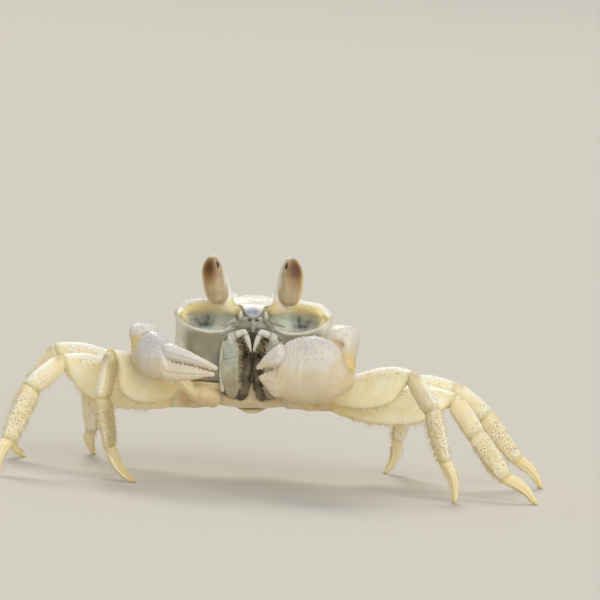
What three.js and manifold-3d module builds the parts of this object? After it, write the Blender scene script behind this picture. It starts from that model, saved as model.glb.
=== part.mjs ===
// A ghost crab at life size, standing on its eight walking legs with both claws raised to its
// mouth. Millimetres, +Z up, the crab faces -Y, and its own left side is +X.

import * as THREE from 'three';
import { mergeVertices } from 'three/addons/utils/BufferGeometryUtils.js';
import Module from 'manifold-3d';

const wasm = await Module();
wasm.setup();

const TAU = 2 * Math.PI;
const vec = (x, y, z) => new THREE.Vector3(x, y, z);
const lerp = THREE.MathUtils.lerp;

// ---------------------------------------------------------------- driving dimensions

const carapaceWidth = 20;
const bodyHeight = 15;       // floor to the middle of the trunk
const bodyRoll = 2;          // degrees, the left side a little higher
const bodyShift = -0.9;      // the trunk stands a little to the right between the feet
const gap = 0.3;             // clearance between neighbouring pieces
const tipRadius = 0.28;      // half the width of a claw tip or a foot's flat

const ink = {
  shell: '#c9c8ae',
  belly: '#d9c58a',
  front: '#b9bba6',
  leg: '#e3cf8f',
  claw: '#cfc4a8',
  clawTop: '#d9d6cc',
  stalk: '#ddd0b0',
  eye: '#6b4a2c',
};

// Lengths of merus, carpus, propodus and dactyl, and where the leg leaves the trunk.
const legSizes = {
  leg1: { lengths: [11, 5.5, 6.5, 5.4], hip: [9.5, -5.2, -3.7], depth: 1 },
  leg2: { lengths: [15.3, 5.6, 7, 5.2], hip: [9.9, -2.2, -5.1], depth: 1.16 },
  leg3: { lengths: [15.5, 5.6, 7.1, 5.2], hip: [10.1, 0.9, -5.1], depth: 1.1 },
  leg4: { lengths: [11, 4.3, 5.2, 4.8], hip: [10, 4.2, -5.2], depth: 0.95 },
};

// The stance, in degrees: heading from straight out (plus is forwards) and rise of the first three
// segments, then the dactyl's heading; its fall follows from the height of its joint over the floor.
// The merus hangs below the line between its joints by its sag.
const stance = {
  leg1: {
    right: { ways: [[37, 25], [71, -67], [-133, -75]], foot: 180, sag: 1 },
    left: { ways: [[16, 17], [46, -43], [44, -66]], foot: 20, sag: 0.2 },
  },
  leg2: {
    right: { ways: [[20, 17], [40, -34], [20, -68]], foot: 70, sag: 0.2 },
    left: { ways: [[2, 5.5], [36, -46], [44, -42]], foot: 20, sag: 0.3 },
  },
  leg3: {
    right: { ways: [[-6, 19], [-33, -50], [0, -67]], foot: -123, sag: 0 },
    left: { ways: [[-12, 8.5], [-12, -36], [-14, -51]], foot: -20, sag: 0.1 },
  },
  leg4: {
    right: { ways: [[-20, 13], [-72, -52], [-110, -74]], foot: -98, sag: 0 },
    left: { ways: [[-16, 11], [-102, -43], [-117, -67]], foot: -150, sag: 0 },
  },
};

// ---------------------------------------------------------------- shapes

const power = (value, exponent) => Math.sign(value) * Math.abs(value) ** exponent;

// One cross-section: an oval round centre, reaching `rise` and `drop` along up and `half` across.
function ovalRing(centre, across, up, half, rise, drop, roundness = 2.4, sides = 8) {
  const exponent = 2 / roundness;
  const points = [];
  for (let i = 0; i < sides; i += 1) {
    const angle = TAU * (i + 0.5) / sides;
    const side = power(Math.cos(angle), exponent) * half;
    const height = power(Math.sin(angle), exponent) * (Math.sin(angle) > 0 ? rise : drop);
    points.push(centre.clone().addScaledVector(across, side).addScaledVector(up, height));
  }
  return points;
}

function centreOf(ring) {
  return ring.reduce((sum, point) => sum.add(point), vec(0, 0, 0)).divideScalar(ring.length);
}

function signedVolume(points, faces) {
  let volume = 0;
  for (let i = 0; i < faces.length; i += 3) {
    const [a, b, c] = [points[faces[i]], points[faces[i + 1]], points[faces[i + 2]]];
    volume += a.dot(b.clone().cross(c)) / 6;
  }
  return volume;
}

// A closed skin over a row of rings, with both ends capped, its faces pointing out.
function loft(rings) {
  const sides = rings[0].length;
  const points = rings.flat();
  const lastRing = points.length - sides;
  const startPoint = points.push(centreOf(rings[0])) - 1;
  const endPoint = points.push(centreOf(rings.at(-1))) - 1;
  const faces = [];
  for (let i = 0; i < sides; i += 1) {
    const next = (i + 1) % sides;
    for (let row = 0; row < lastRing; row += sides) {
      const [a, b] = [row + i, row + next];
      faces.push(a, b, b + sides, a, b + sides, a + sides);
    }
    faces.push(startPoint, next, i);
    faces.push(endPoint, lastRing + i, lastRing + next);
  }
  if (signedVolume(points, faces) < 0) {
    faces.reverse();
  }
  const geometry = new THREE.BufferGeometry().setFromPoints(points);
  geometry.setIndex(faces);
  return geometry;
}

function toSolid(geometry) {
  const bare = geometry.clone();
  bare.deleteAttribute('normal');
  bare.deleteAttribute('uv');
  const merged = mergeVertices(bare, 1e-5);
  return new wasm.Manifold(new wasm.Mesh({
    numProp: 3,
    vertProperties: new Float32Array(merged.attributes.position.array),
    triVerts: new Uint32Array(merged.index.array),
  }));
}

function toGeometry(solid) {
  const mesh = solid.getMesh();
  const geometry = new THREE.BufferGeometry();
  geometry.setAttribute('position', new THREE.BufferAttribute(mesh.vertProperties, 3));
  geometry.setIndex(new THREE.BufferAttribute(mesh.triVerts, 1));
  return geometry;
}

function boxSolid(low, high) {
  const size = high.map((value, i) => value - low[i]);
  const middle = high.map((value, i) => (value + low[i]) / 2);
  return toSolid(new THREE.BoxGeometry(...size).translate(...middle));
}

function piece(name, geometry, colour, roughness = 0.5) {
  geometry.computeVertexNormals();
  const material = new THREE.MeshStandardMaterial({ color: colour, roughness, metalness: 0 });
  const mesh = new THREE.Mesh(geometry, material);
  mesh.name = name;
  return mesh;
}

const sideNames = { left: 1, right: -1 };
const crab = new THREE.Group();
const trunk = new THREE.Group();
trunk.position.set(bodyShift, 0, bodyHeight);
trunk.rotation.y = -THREE.MathUtils.degToRad(bodyRoll);
trunk.updateMatrixWorld();
crab.add(trunk);

// ---------------------------------------------------------------- trunk

// Levels of the trunk from its top down: height, half width, reach to the front and to the back.
const halfWidth = carapaceWidth / 2;
const trunkLevels = [
  [7.8, 0.42, -4, 1.6],
  [7.65, 0.66, -6.4, 3.4],
  [7.2, 0.8, -7.7, 5.3],
  [6.2, 0.98, -8.2, 6.9],
  [4.5, 1.01, -8.2, 8],
  [2, 0.99, -8, 8.4],
  [-1, 0.92, -7.7, 7.9],
  [-3.5, 0.8, -7.3, 6.8],
  [-5.2, 0.64, -6.4, 5.4],
  [-6, 0.42, -4.4, 3.8],
];
const trunkTaper = 0.36;     // how much narrower the trunk is at its back edge
const seamHeight = -2.2;     // where the shell's side walls meet the breastplate

function trunkOutline([height, widthShare, front, back], sides = 28, squareness = 3.4) {
  const exponent = 2 / squareness;
  const points = [];
  for (let i = 0; i < sides; i += 1) {
    const angle = TAU * i / sides;
    const reach = power(Math.sin(angle), exponent);
    const along = reach < 0 ? -reach * front : reach * back;
    const narrow = reach > 0 ? 1 - trunkTaper * reach ** 1.6 : 1;
    points.push(vec(power(Math.cos(angle), exponent) * widthShare * halfWidth * narrow, along, height));
  }
  return points;
}

const orbit = { centre: [5.7, -9.2, 5.55], radii: [4.25, 2.5, 1.65] };
const mouth = { halfWidth: 3.9, top: 4, bottom: -4.6, back: -6.4 };
const clearOfTrunk = 15;     // far enough out to be past the trunk on every side

// The tongue-shaped front between the eyestalks: height, half width, reach.
const frontLevels = [
  [7.5, 1.5, -8.4],
  [6.9, 1.35, -9.2],
  [6.3, 1.05, -9.4],
  [5.95, 0.6, -9.35],
];
// The epistome under it, ending in a tooth over the mouth.
const epistomeLevels = [
  [6, 2.5, -8.6],
  [4.9, 2.2, -8.9],
  [4.4, 0.9, -9],
  [3.95, 0.25, -9],
];
const faceRoot = -6.5;       // how far back these two are let into the trunk

function faceLobe(levels) {
  const middle = (reach) => (reach + faceRoot) / 2;
  return loft(levels.map(([height, half, reach]) => {
    const deep = (faceRoot - reach) / 2;
    return ovalRing(vec(0, middle(reach), height), vec(1, 0, 0), vec(0, 1, 0), half, deep, deep, 2.6);
  }));
}

function addTrunk() {
  const whole = toSolid(loft(trunkLevels.map((level) => trunkOutline(level))));
  const cavity = boxSolid(
    [-mouth.halfWidth, -clearOfTrunk, mouth.bottom],
    [mouth.halfWidth, mouth.back, mouth.top],
  );
  const aboveSeam = boxSolid([-clearOfTrunk, -clearOfTrunk, seamHeight], Array(3).fill(clearOfTrunk));
  const belowSeam = boxSolid(Array(3).fill(-clearOfTrunk), [clearOfTrunk, clearOfTrunk, seamHeight - gap]);
  let shell = whole.intersect(aboveSeam);
  for (const side of Object.values(sideNames)) {
    const ball = new THREE.SphereGeometry(1, 16, 10);
    ball.scale(...orbit.radii).translate(side * orbit.centre[0], orbit.centre[1], orbit.centre[2]);
    shell = shell.subtract(toSolid(ball));
  }
  shell = shell.add(toSolid(faceLobe(frontLevels))).subtract(cavity);
  shell = shell.add(toSolid(faceLobe(epistomeLevels)));
  trunk.add(piece('carapace', toGeometry(shell), ink.shell));

  let breast = whole.subtract(cavity);
  for (const side of Object.values(sideNames)) {
    for (const { hip } of Object.values(legSizes)) {
      breast = breast.add(toSolid(legBase(side, hip)));
    }
  }
  trunk.add(piece('sternum', toGeometry(breast.intersect(belowSeam)), ink.belly));
}

// The short first segments of a leg, joined to the breastplate up to the hip joint.
const base = {
  rootX: 5,
  rootLift: 0.4,
  crowding: 0.8,             // the roots stand this much closer together than the hips
  radii: [[0, 1.1], [0.5, 1.35], [0.8, 1.3], [1, 0.85]],
  acrossShare: 0.9,
  upShare: 1.05,
};

function legBase(side, [x, y, z]) {
  const root = vec(side * base.rootX, y * base.crowding, z + base.rootLift);
  const hip = vec(side * (x - 1.5 * gap), y, z);
  const along = hip.clone().sub(root).normalize();
  const across = along.clone().cross(vec(0, 0, 1)).normalize();
  const up = across.clone().cross(along);
  return loft(base.radii.map(([t, radius]) => {
    const height = radius * base.upShare;
    return ovalRing(root.clone().lerp(hip, t), across, up, radius * base.acrossShare, height, height);
  }));
}

// The abdomen, folded forwards under the breastplate: distance back, half width, height.
const abdomen = {
  stations: [[8.75, 3.2, 0.4], [8.3, 3.4, -2.4], [6.5, 3, -5.5],
    [4, 2.5, -6.45], [0, 1.6, -6.6], [-3.4, 0.8, -6.55]],
  halfThickness: 0.3,
  roundness: 3,
};

function addAbdomen() {
  const { stations, halfThickness, roundness } = abdomen;
  const centres = stations.map(([y, , z]) => vec(0, y, z));
  const rings = stations.map(([, half], i) => {
    const before = centres[Math.max(i - 1, 0)];
    const after = centres[Math.min(i + 1, centres.length - 1)];
    const along = after.clone().sub(before).normalize();
    const up = vec(1, 0, 0).cross(along);
    return ovalRing(centres[i], vec(1, 0, 0), up, half, halfThickness, halfThickness, roundness);
  });
  trunk.add(piece('abdomen', loft(rings), ink.belly));
}

// ---------------------------------------------------------------- eyes

const eye = {
  low: [4.25, -9.2, 7.5],
  top: [4.85, -8.7, 13.65],
  halfWidth: 1.53,
  halfDepth: 1.4,
  sizes: [[0, 0.2], [0.05, 0.5], [0.2, 0.84], [0.42, 0.99], [0.62, 1], [0.8, 0.84], [0.94, 0.5], [1, 0.16]],
  stalk: [
    [[2.15, -9, 6.85], 0.45],
    [[3, -8.95, 7.5], 0.7],
    [[3.8, -8.45, 8.9], 1.15],
    [[4.1, -8.25, 10.4], 1.15],
  ],
};

function corneaShape(low, top, extra) {
  const axis = top.clone().sub(low).normalize();
  const across = vec(0, -1, 0).cross(axis).normalize();
  const forward = axis.clone().cross(across);
  return loft(eye.sizes.map(([t, size]) => {
    const centre = low.clone().lerp(top, t).addScaledVector(axis, extra * (2 * t - 1));
    const deep = size * eye.halfDepth + extra;
    return ovalRing(centre, across, forward, size * eye.halfWidth + extra, deep, deep, 2.1, 14);
  }));
}

function addEye(sideName) {
  const side = sideNames[sideName];
  const mirrored = ([x, y, z]) => vec(side * x, y, z);
  const [low, top] = [eye.low, eye.top].map(mirrored);
  trunk.add(piece(`cornea_${sideName}`, corneaShape(low, top, 0), ink.eye, 0.15));
  const path = eye.stalk.map(([point]) => mirrored(point));
  const stalk = loft(eye.stalk.map(([, radius], i) => {
    const along = path[Math.min(i + 1, 3)].clone().sub(path[Math.max(i - 1, 0)]).normalize();
    const sideways = along.clone().cross(vec(0, -1, 0)).normalize();
    return ovalRing(path[i], sideways, sideways.clone().cross(along), radius, radius, radius, 2, 12);
  }));
  const hollowed = toSolid(stalk).subtract(toSolid(corneaShape(low, top, gap)));
  trunk.add(piece(`eyestalk_${sideName}`, toGeometry(hollowed), ink.stalk));
}

// ---------------------------------------------------------------- feelers and mouthparts

const antenna = { root: [2.75, -9.2, 5.6], tip: [3.9, -10.2, 4.9], rootRadius: 0.45, tipRadius: 0.25 };
const plate = {
  low: [2.3, -8.2, -4],
  top: [2.75, -8.9, 3.2],
  halfWidth: 1.05,
  halfThickness: 0.38,
  widths: [[0, 0.6], [0.1, 0.9], [0.5, 1], [0.9, 0.95], [1, 0.7]],
};
const palp = [
  [[2.7, -9.35, 3.9], 0.5],
  [[1.6, -9.9, 4.1], 0.48],
  [[0.75, -10.1, 3.4], 0.42],
  [[0.25, -10.1, 1.5], 0.26],
];

function pathLoft(path, radii, flatness = 1) {
  const last = path.length - 1;
  return loft(path.map((centre, i) => {
    const along = path[Math.min(i + 1, last)].clone().sub(path[Math.max(i - 1, 0)]).normalize();
    const across = along.clone().cross(vec(0, -1, 0)).normalize();
    const up = across.clone().cross(along);
    return ovalRing(centre, across, up, radii[i], radii[i] * flatness, radii[i] * flatness, 2.2);
  }));
}

function addMouthparts(sideName) {
  const side = sideNames[sideName];
  const mirrored = ([x, y, z]) => vec(side * x, y, z);
  const feeler = [antenna.root, antenna.tip].map(mirrored);
  const feelerShape = pathLoft(feeler, [antenna.rootRadius, antenna.tipRadius]);
  trunk.add(piece(`antenna_${sideName}`, feelerShape, ink.front));

  const [low, top] = [plate.low, plate.top].map(mirrored);
  const plateShape = pathLoft(
    plate.widths.map(([t]) => low.clone().lerp(top, t)),
    plate.widths.map(([, share]) => share * plate.halfWidth),
    plate.halfThickness / plate.halfWidth,
  );
  trunk.add(piece(`maxilliped_${sideName}`, plateShape, ink.front));

  const palpShape = pathLoft(palp.map(([point]) => mirrored(point)), palp.map(([, radius]) => radius));
  trunk.add(piece(`palp_${sideName}`, palpShape, ink.front));
}

// ---------------------------------------------------------------- walking legs

// Each segment's outline: place along it, reach to the outer and inner edge, half thickness.
const legProfiles = {
  merus: [[0, 0.85, 0.9, 0.7], [0.13, 1.35, 1.7, 0.85], [0.35, 1.7, 2.5, 0.92], [0.6, 1.85, 2.7, 0.9],
    [0.82, 1.6, 2.2, 0.82], [0.95, 1.2, 1.5, 0.75], [1, 0.85, 0.95, 0.6]],
  carpus: [[0, 0.75, 0.8, 0.6], [0.25, 1.15, 0.95, 0.75], [0.7, 1.1, 1.05, 0.75], [1, 0.85, 0.9, 0.65]],
  propodus: [[0, 0.75, 0.8, 0.6], [0.15, 1.12, 1.15, 0.72], [0.5, 1.12, 1.18, 0.74], [0.9, 0.85, 0.85, 0.62],
    [1, 0.68, 0.68, 0.55]],
  dactyl: [[0, 0.6, 0.6, 0.5], [0.15, 0.8, 0.75, 0.58], [0.45, 0.66, 0.62, 0.52], [0.75, 0.45, 0.45, 0.42],
    [1, tipRadius, tipRadius, tipRadius]],
};
const segmentNames = Object.keys(legProfiles);
const dactylBow = 0.55;      // how far a walking dactyl bends out of the straight

function direction(side, headingDegrees, riseDegrees) {
  const heading = THREE.MathUtils.degToRad(headingDegrees);
  const rise = THREE.MathUtils.degToRad(riseDegrees);
  const level = Math.cos(rise);
  return vec(side * level * Math.cos(heading), -level * Math.sin(heading), Math.sin(rise));
}

function legJoints(side, { lengths, hip }, { ways, foot }) {
  const joints = [trunk.localToWorld(vec(side * hip[0], hip[1], hip[2]))];
  ways.forEach(([heading, rise], i) => {
    joints.push(joints[i].clone().addScaledVector(direction(side, heading, rise), lengths[i]));
  });
  const fall = THREE.MathUtils.radToDeg(Math.asin(joints[3].z / lengths[3]));
  joints.push(joints[3].clone().addScaledVector(direction(side, foot, -fall), lengths[3]));
  joints[4].z = 0;
  return joints;
}

// A segment between two joints. Its ends are mitred to its neighbours' directions, and a foot has
// no `after`: it ends in a level flat on the floor.
function segment({ from, to, before, after, normal, profile, scale, bow }) {
  const along = to.clone().sub(from).normalize();
  const startAlong = along.clone().add(before).normalize();
  const endAlong = after ? along.clone().add(after).normalize() : vec(0, 0, -1);
  const start = from.clone().addScaledVector(along, gap / 2 / along.dot(startAlong));
  const end = after ? to.clone().addScaledVector(along, -gap / 2 / along.dot(endAlong)) : to;
  return loft(profile.map(([t, outer, inner, half]) => {
    const turn = Math.abs(2 * t - 1) ** 3;
    const tangent = along.clone().lerp(t < 0.5 ? startAlong : endAlong, turn).normalize();
    const up = tangent.clone().cross(normal).normalize();
    const across = up.clone().cross(tangent);
    const centre = start.clone().lerp(end, t).addScaledVector(up, bow * Math.sin(Math.PI * t));
    return ovalRing(centre, across, up, half * scale, outer * scale, inner * scale);
  }));
}

function addLeg(sideName, legName) {
  const side = sideNames[sideName];
  const size = legSizes[legName];
  const pose = stance[legName][sideName];
  const joints = legJoints(side, size, pose);
  const bows = [-pose.sag, 0, 0, dactylBow];
  const ways = joints.slice(1).map((joint, i) => joint.clone().sub(joints[i]).normalize());
  const normal = ways[0].clone().cross(ways[2]).normalize();
  segmentNames.forEach((segmentName, i) => {
    const isFoot = i === 3;
    const shape = segment({
      from: joints[i],
      to: joints[i + 1],
      before: ways[Math.max(i - 1, 0)],
      after: isFoot ? null : ways[i + 1],
      normal,
      profile: legProfiles[segmentName],
      scale: isFoot ? 1 : size.depth,
      bow: bows[i],
    });
    crab.add(piece(`${legName}_${segmentName}_${sideName}`, shape, ink.leg));
  });
}

// ---------------------------------------------------------------- claws

// A claw is drawn with its wrist at the origin, its fingers along +X and its upper edge up.
const claws = {
  left: {
    palm: 8.5, height: 8.3, thickness: 4.4, finger: 2.8, turn: 0.7,
    wrist: [10.9, -13.3, 15.4], yaw: 184, pitch: -1,
    hip: [7, -8.6, -3.6], knuckle: [10, -9.9, 18.5], knob: [2.2, 1.9, 2.4], bow: 0.5,
  },
  right: {
    palm: 4.7, height: 5.9, thickness: 3.2, finger: 5.8, turn: 2.2,
    wrist: [-15.2, -11.3, 16.1], yaw: -36, pitch: 4,
    hip: [-7.2, -8.6, -3.6], knuckle: [-14.5, -9.2, 18.1], knob: [1.85, 1.5, 1.4], bow: 1.2,
  },
};

// Palm: place along it, then top and bottom as shares of half the height, then thickness share.
const palmLine = [
  [0, 0.1, -0.14, 0.3],
  [0.04, 0.42, -0.42, 0.6],
  [0.14, 0.78, -0.68, 0.85],
  [0.32, 0.96, -0.88, 1],
  [0.55, 1, -0.98, 1],
  [0.8, 0.92, -1, 0.9],
  [0.96, 0.72, -0.96, 0.74],
];
// Fingers: place along them, then top and bottom, first of the fixed and then of the moving one.
const fixedLine = [[0.08, -0.02, -0.92], [0.35, -0.1, -0.86], [0.7, -0.24, -0.68], [1, -0.42, -0.5]];
const movingLine = [[0, 0.62, 0.08], [0.12, 0.64, 0.06], [0.4, 0.46, 0.04], [0.75, 0.2, 0], [1, 0.04, -0.06]];

// A claw's arm: place along it and radius as a share of the palm's thickness.
const clawMerus = [[0, 0.16], [0.15, 0.23], [0.5, 0.285], [0.85, 0.26], [1, 0.18]];
const fingerRootDepth = 0.6; // thickness of the fingers' roots as a share of the palm's

// Both pieces of a claw, `grow` larger all round when they are cut out of a neighbour.
function clawSolids({ palm, height, thickness, finger, turn }, side, grow = 0) {
  const ring = (x, y, top, bottom, deep) => {
    const reach = Math.max((top - bottom) * height / 4, tipRadius) + grow;
    const centre = vec(x, y, (top + bottom) * height / 4);
    return ovalRing(centre, vec(0, 1, 0), vec(0, 0, 1), deep * thickness / 2 + grow, reach, reach, 2.3, 14);
  };
  const bend = (along) => side * turn * along ** 1.5;
  const fingerDepth = (along) => lerp(fingerRootDepth, 2 * tipRadius / thickness, along);
  const palmRings = palmLine.map(([along, top, bottom, deep]) => ring(along * palm, 0, top, bottom, deep));
  const fixedRings = fixedLine.map(([along, top, bottom]) => {
    return ring(palm + along * finger, bend(along), top, bottom, fingerDepth(along));
  });
  const movingRings = movingLine.map(([along, top, bottom]) => {
    return ring(palm + 1.3 * gap + along * finger, bend(along), top, bottom, fingerDepth(along));
  });
  return { hand: loft([...palmRings, ...fixedRings]), finger: loft(movingRings) };
}

function addClaw(sideName) {
  const side = sideNames[sideName];
  const claw = claws[sideName];
  const holder = new THREE.Group();
  holder.position.set(...claw.wrist);
  holder.rotation.set(0, THREE.MathUtils.degToRad(claw.pitch), THREE.MathUtils.degToRad(claw.yaw), 'ZYX');
  crab.add(holder);
  const shapes = clawSolids(claw, -side);
  holder.add(piece(`claw_hand_${sideName}`, shapes.hand, ink.claw));
  holder.add(piece(`claw_finger_${sideName}`, shapes.finger, ink.clawTop));

  holder.updateMatrixWorld();

  const knuckle = vec(...claw.knuckle);
  const knob = new THREE.SphereGeometry(1, 16, 10).scale(...claw.knob).translate(...claw.knuckle);
  const pressed = clawSolids(claw, -side, gap).hand.applyMatrix4(holder.matrixWorld);
  const carpus = toSolid(knob).subtract(toSolid(pressed));
  crab.add(piece(`claw_carpus_${sideName}`, toGeometry(carpus), ink.clawTop));

  const hip = trunk.localToWorld(vec(...claw.hip));
  const reach = 1 - (Math.max(...claw.knob) + gap) / hip.distanceTo(knuckle);
  const path = clawMerus.map(([t]) => {
    return hip.clone().lerp(knuckle, t * reach).add(vec(0, -claw.bow * Math.sin(Math.PI * t), 0));
  });
  const radii = clawMerus.map(([, share]) => share * claw.thickness);
  crab.add(piece(`claw_merus_${sideName}`, pathLoft(path, radii), ink.leg));
}

// ---------------------------------------------------------------- the whole crab

addTrunk();
addAbdomen();
for (const sideName of Object.keys(sideNames)) {
  addEye(sideName);
  addMouthparts(sideName);
  addClaw(sideName);
  for (const legName of Object.keys(legSizes)) {
    addLeg(sideName, legName);
  }
}

// The origin goes to the middle of the crab's box, on the floor.
const bounds = new THREE.Box3().setFromObject(crab, true);
const middle = bounds.getCenter(vec(0, 0, 0));
crab.position.set(-middle.x, -middle.y, 0);

const group = new THREE.Group();
group.add(crab);

export default group;
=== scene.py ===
import math
from itertools import product

import bpy
import numpy as np
from mathutils import Matrix


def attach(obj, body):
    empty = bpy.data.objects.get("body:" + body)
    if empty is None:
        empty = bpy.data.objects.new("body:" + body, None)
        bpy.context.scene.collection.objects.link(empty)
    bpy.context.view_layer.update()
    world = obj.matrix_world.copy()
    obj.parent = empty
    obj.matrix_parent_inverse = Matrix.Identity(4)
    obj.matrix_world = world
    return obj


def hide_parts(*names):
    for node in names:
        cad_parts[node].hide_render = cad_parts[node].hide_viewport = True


# A ghost crab at life size, as a museum shows one. Shapes are worked out in millimetres, in the
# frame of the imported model, and made into metres when a piece is built.
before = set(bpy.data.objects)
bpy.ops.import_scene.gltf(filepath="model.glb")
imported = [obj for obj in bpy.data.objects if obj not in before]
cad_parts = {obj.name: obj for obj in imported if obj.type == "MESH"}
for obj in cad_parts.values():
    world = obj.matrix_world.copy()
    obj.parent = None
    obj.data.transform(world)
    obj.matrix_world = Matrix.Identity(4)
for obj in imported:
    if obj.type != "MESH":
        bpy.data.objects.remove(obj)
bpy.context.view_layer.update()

mm = 0.001
gap = 0.3                          # clearance between neighbouring solids in the frame
seed = 7
rng = np.random.default_rng(seed)
sides = {"left": 1, "right": -1}
front = np.array([0.0, -1.0, 0.0])
skyward = np.array([0.0, 0.0, 1.0])


# Small maths

def unit(v):
    return v / np.maximum(np.linalg.norm(v, axis=-1, keepdims=True), 1e-12)


def clamped(x):                    # held between 0 and 1
    return np.clip(x, 0, 1)


def ease(low, high, x):
    t = clamped((x - low) / (high - low))
    return t * t * (3 - 2 * t)


def bell(x, middle, width):
    return np.exp(-((x - middle) / width) ** 2)


def ripple(x, wavelength):
    return np.sin(2 * math.pi * x / wavelength)


def mix(a, b, t):
    return a + (b - a) * t


def spread(values, like):          # one value per row, given to every point of the row
    return np.broadcast_to(values[:, None], like.shape)


def aboutY(degrees):
    c, s = math.cos(math.radians(degrees)), math.sin(math.radians(degrees))
    return np.array([[c, 0, s], [0, 1, 0], [-s, 0, c]])


def through(knots, values, at):    # a smooth curve through the knots that never overshoots them
    step = np.diff(knots)
    slope = np.diff(values) / step
    bend = np.concatenate([slope[:1], np.zeros(len(step) - 1), slope[-1:]])
    near, far = 2 * step[1:] + step[:-1], step[1:] + 2 * step[:-1]
    rising = slope[:-1] * slope[1:] > 0
    before, after = np.where(rising, slope[:-1], 1), np.where(rising, slope[1:], 1)
    bend[1:-1] = np.where(rising, (near + far) / (near / before + far / after), 0)
    at = np.clip(at, knots[0], knots[-1])
    i = np.clip(np.searchsorted(knots, at) - 1, 0, len(step) - 1)
    t = (at - knots[i]) / step[i]
    keep = (1 + 2 * t) * (1 - t) ** 2
    curl = step[i] * t * (1 - t) * (bend[i] * (1 - t) - bend[i + 1] * t)
    return values[i] * keep + values[i + 1] * (1 - keep) + curl


def columns(table, at):            # each later column of a table, read along its first
    table = np.array(table, float)
    return [through(table[:, 0], column, at) for column in table[:, 1:].T]


def evenRows(rows, at):            # each column of rows that lie evenly from 0 to 1
    return columns(np.column_stack([np.linspace(0, 1, len(rows)), rows]), at)


def limbPath(stations, at, side=1):    # a limb's path and radius; a station is x, y, z and radius
    *path, radius = evenRows(np.array(stations) * (side, 1, 1, 1), at)
    return np.stack(path, -1), radius


def chance(cell, salt):            # an even, repeatable number from 0 to 1 for each lattice cell
    n = cell[..., 0] * 374761393 + cell[..., 1] * 668265263 + cell[..., 2] * 915488749 + salt * 974711
    n = n & 0xFFFFFFFF
    n = ((n ^ (n >> 13)) * 1274126177) & 0xFFFFFFFF
    return ((n ^ (n >> 16)) & 0xFFFFFF) / 0xFFFFFF


def fromCorners(cell, place, valueAt):   # what the corners of a cell hold, blended at a place in it
    return sum(np.prod(np.where(corner, place, 1 - place), axis=-1) * valueAt(cell + corner)
               for corner in product((0, 1), repeat=3))


def drift(points, size, salt):     # soft noise, -1 to 1
    cell = np.floor(points / size).astype(np.int64)
    return 2 * fromCorners(cell, ease(0, 1, points / size - cell), lambda corner: chance(corner, salt)) - 1


def granules(points, size, salt, fill=0.5):      # domes of 0 to 1 scattered over the surface
    p = points / size
    cell = np.floor(p).astype(np.int64)
    nearest = np.full(p.shape[:-1], 9.0)
    for offset in product((-1, 0, 1), repeat=3):
        there = cell + offset
        jitter = np.stack([chance(there, salt + 11 * axis) for axis in range(3)], -1)
        nearest = np.minimum(nearest, np.sum((p - there - 0.2 - 0.6 * jitter) ** 2, -1))
    return clamped(1 - nearest / fill ** 2)


# Meshes

def facesOut(points, faces):       # turns the faces over if they point inwards
    total = 0.0
    for group in faces:
        corners = points[group.T]
        for b, c in zip(corners[1:-1], corners[2:]):
            total += np.sum(corners[0] * np.cross(b, c))
    return faces if total > 0 else [group[:, ::-1] for group in faces]


def joined(parts):                 # several (points, faces, marks) sets as one
    starts = np.cumsum([0] + [len(points) for points, faces, marks in parts])
    faces = [group + start for start, part in zip(starts, parts) for group in part[1]]
    names = dict.fromkeys(name for part in parts for name in part[2])
    marks = {name: np.concatenate([part[2].get(name, np.zeros(len(part[0]))) for part in parts])
             for name in names}
    return np.concatenate([part[0] for part in parts]), faces, marks


def addObject(name, data):
    thing = bpy.data.objects.new(name, data)
    bpy.context.scene.collection.objects.link(thing)
    return thing


def setMark(mesh, name, values, kind="FLOAT", field="value"):
    mesh.attributes.new(name, kind, "POINT").data.foreach_set(field, np.ravel(values).astype(np.float32))


def addPiece(name, shape, look, slot, *nodes):
    points, faces, marks = shape
    mesh = bpy.data.meshes.new(name)
    mesh.from_pydata((points * mm).tolist(), [], [face for group in faces for face in group.tolist()])
    for mark, values in marks.items():
        setMark(mesh, mark, clamped(values))
    mesh.polygons.foreach_set("use_smooth", np.ones(len(mesh.polygons), dtype=bool))
    mesh.materials.append(finish[look])
    mesh.validate()
    mesh.update()
    piece = addObject(name, mesh)
    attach(piece, "root")
    if nodes:
        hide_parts(*nodes)


def gridNormals(rings):
    wide = np.roll(rings, -1, axis=1) - np.roll(rings, 1, axis=1)
    normals = unit(np.cross(wide, np.gradient(rings, axis=0)))
    outside = np.sum(normals * (rings - rings.mean(axis=1, keepdims=True))) > 0
    return normals if outside else -normals


def raised(rings, lift):
    return rings + gridNormals(rings) * lift[..., None]


def closedSkin(rings, marks):      # a skin over rows of rings, closed by a point at both ends
    rows, cols = rings.shape[:2]
    points = np.concatenate([rings.reshape(-1, 3), rings[:1].mean(1), rings[-1:].mean(1)])
    ring = np.arange(cols)
    following = (ring + 1) % cols
    row = cols * np.arange(rows - 1)[:, None]
    quads = np.stack([row + ring, row + following, row + following + cols, row + ring + cols], -1)
    final = (rows - 1) * cols
    first = np.stack([np.full(cols, rows * cols), following, ring], -1)
    last = np.stack([np.full(cols, rows * cols + 1), final + ring, final + following], -1)
    flat = {}
    for name, values in marks.items():
        values = clamped(np.broadcast_to(values, (rows, cols)))
        flat[name] = np.append(values, [values[0].mean(), values[-1].mean()])
    return points, facesOut(points, [quads.reshape(-1, 4), np.concatenate([first, last])]), flat


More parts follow.
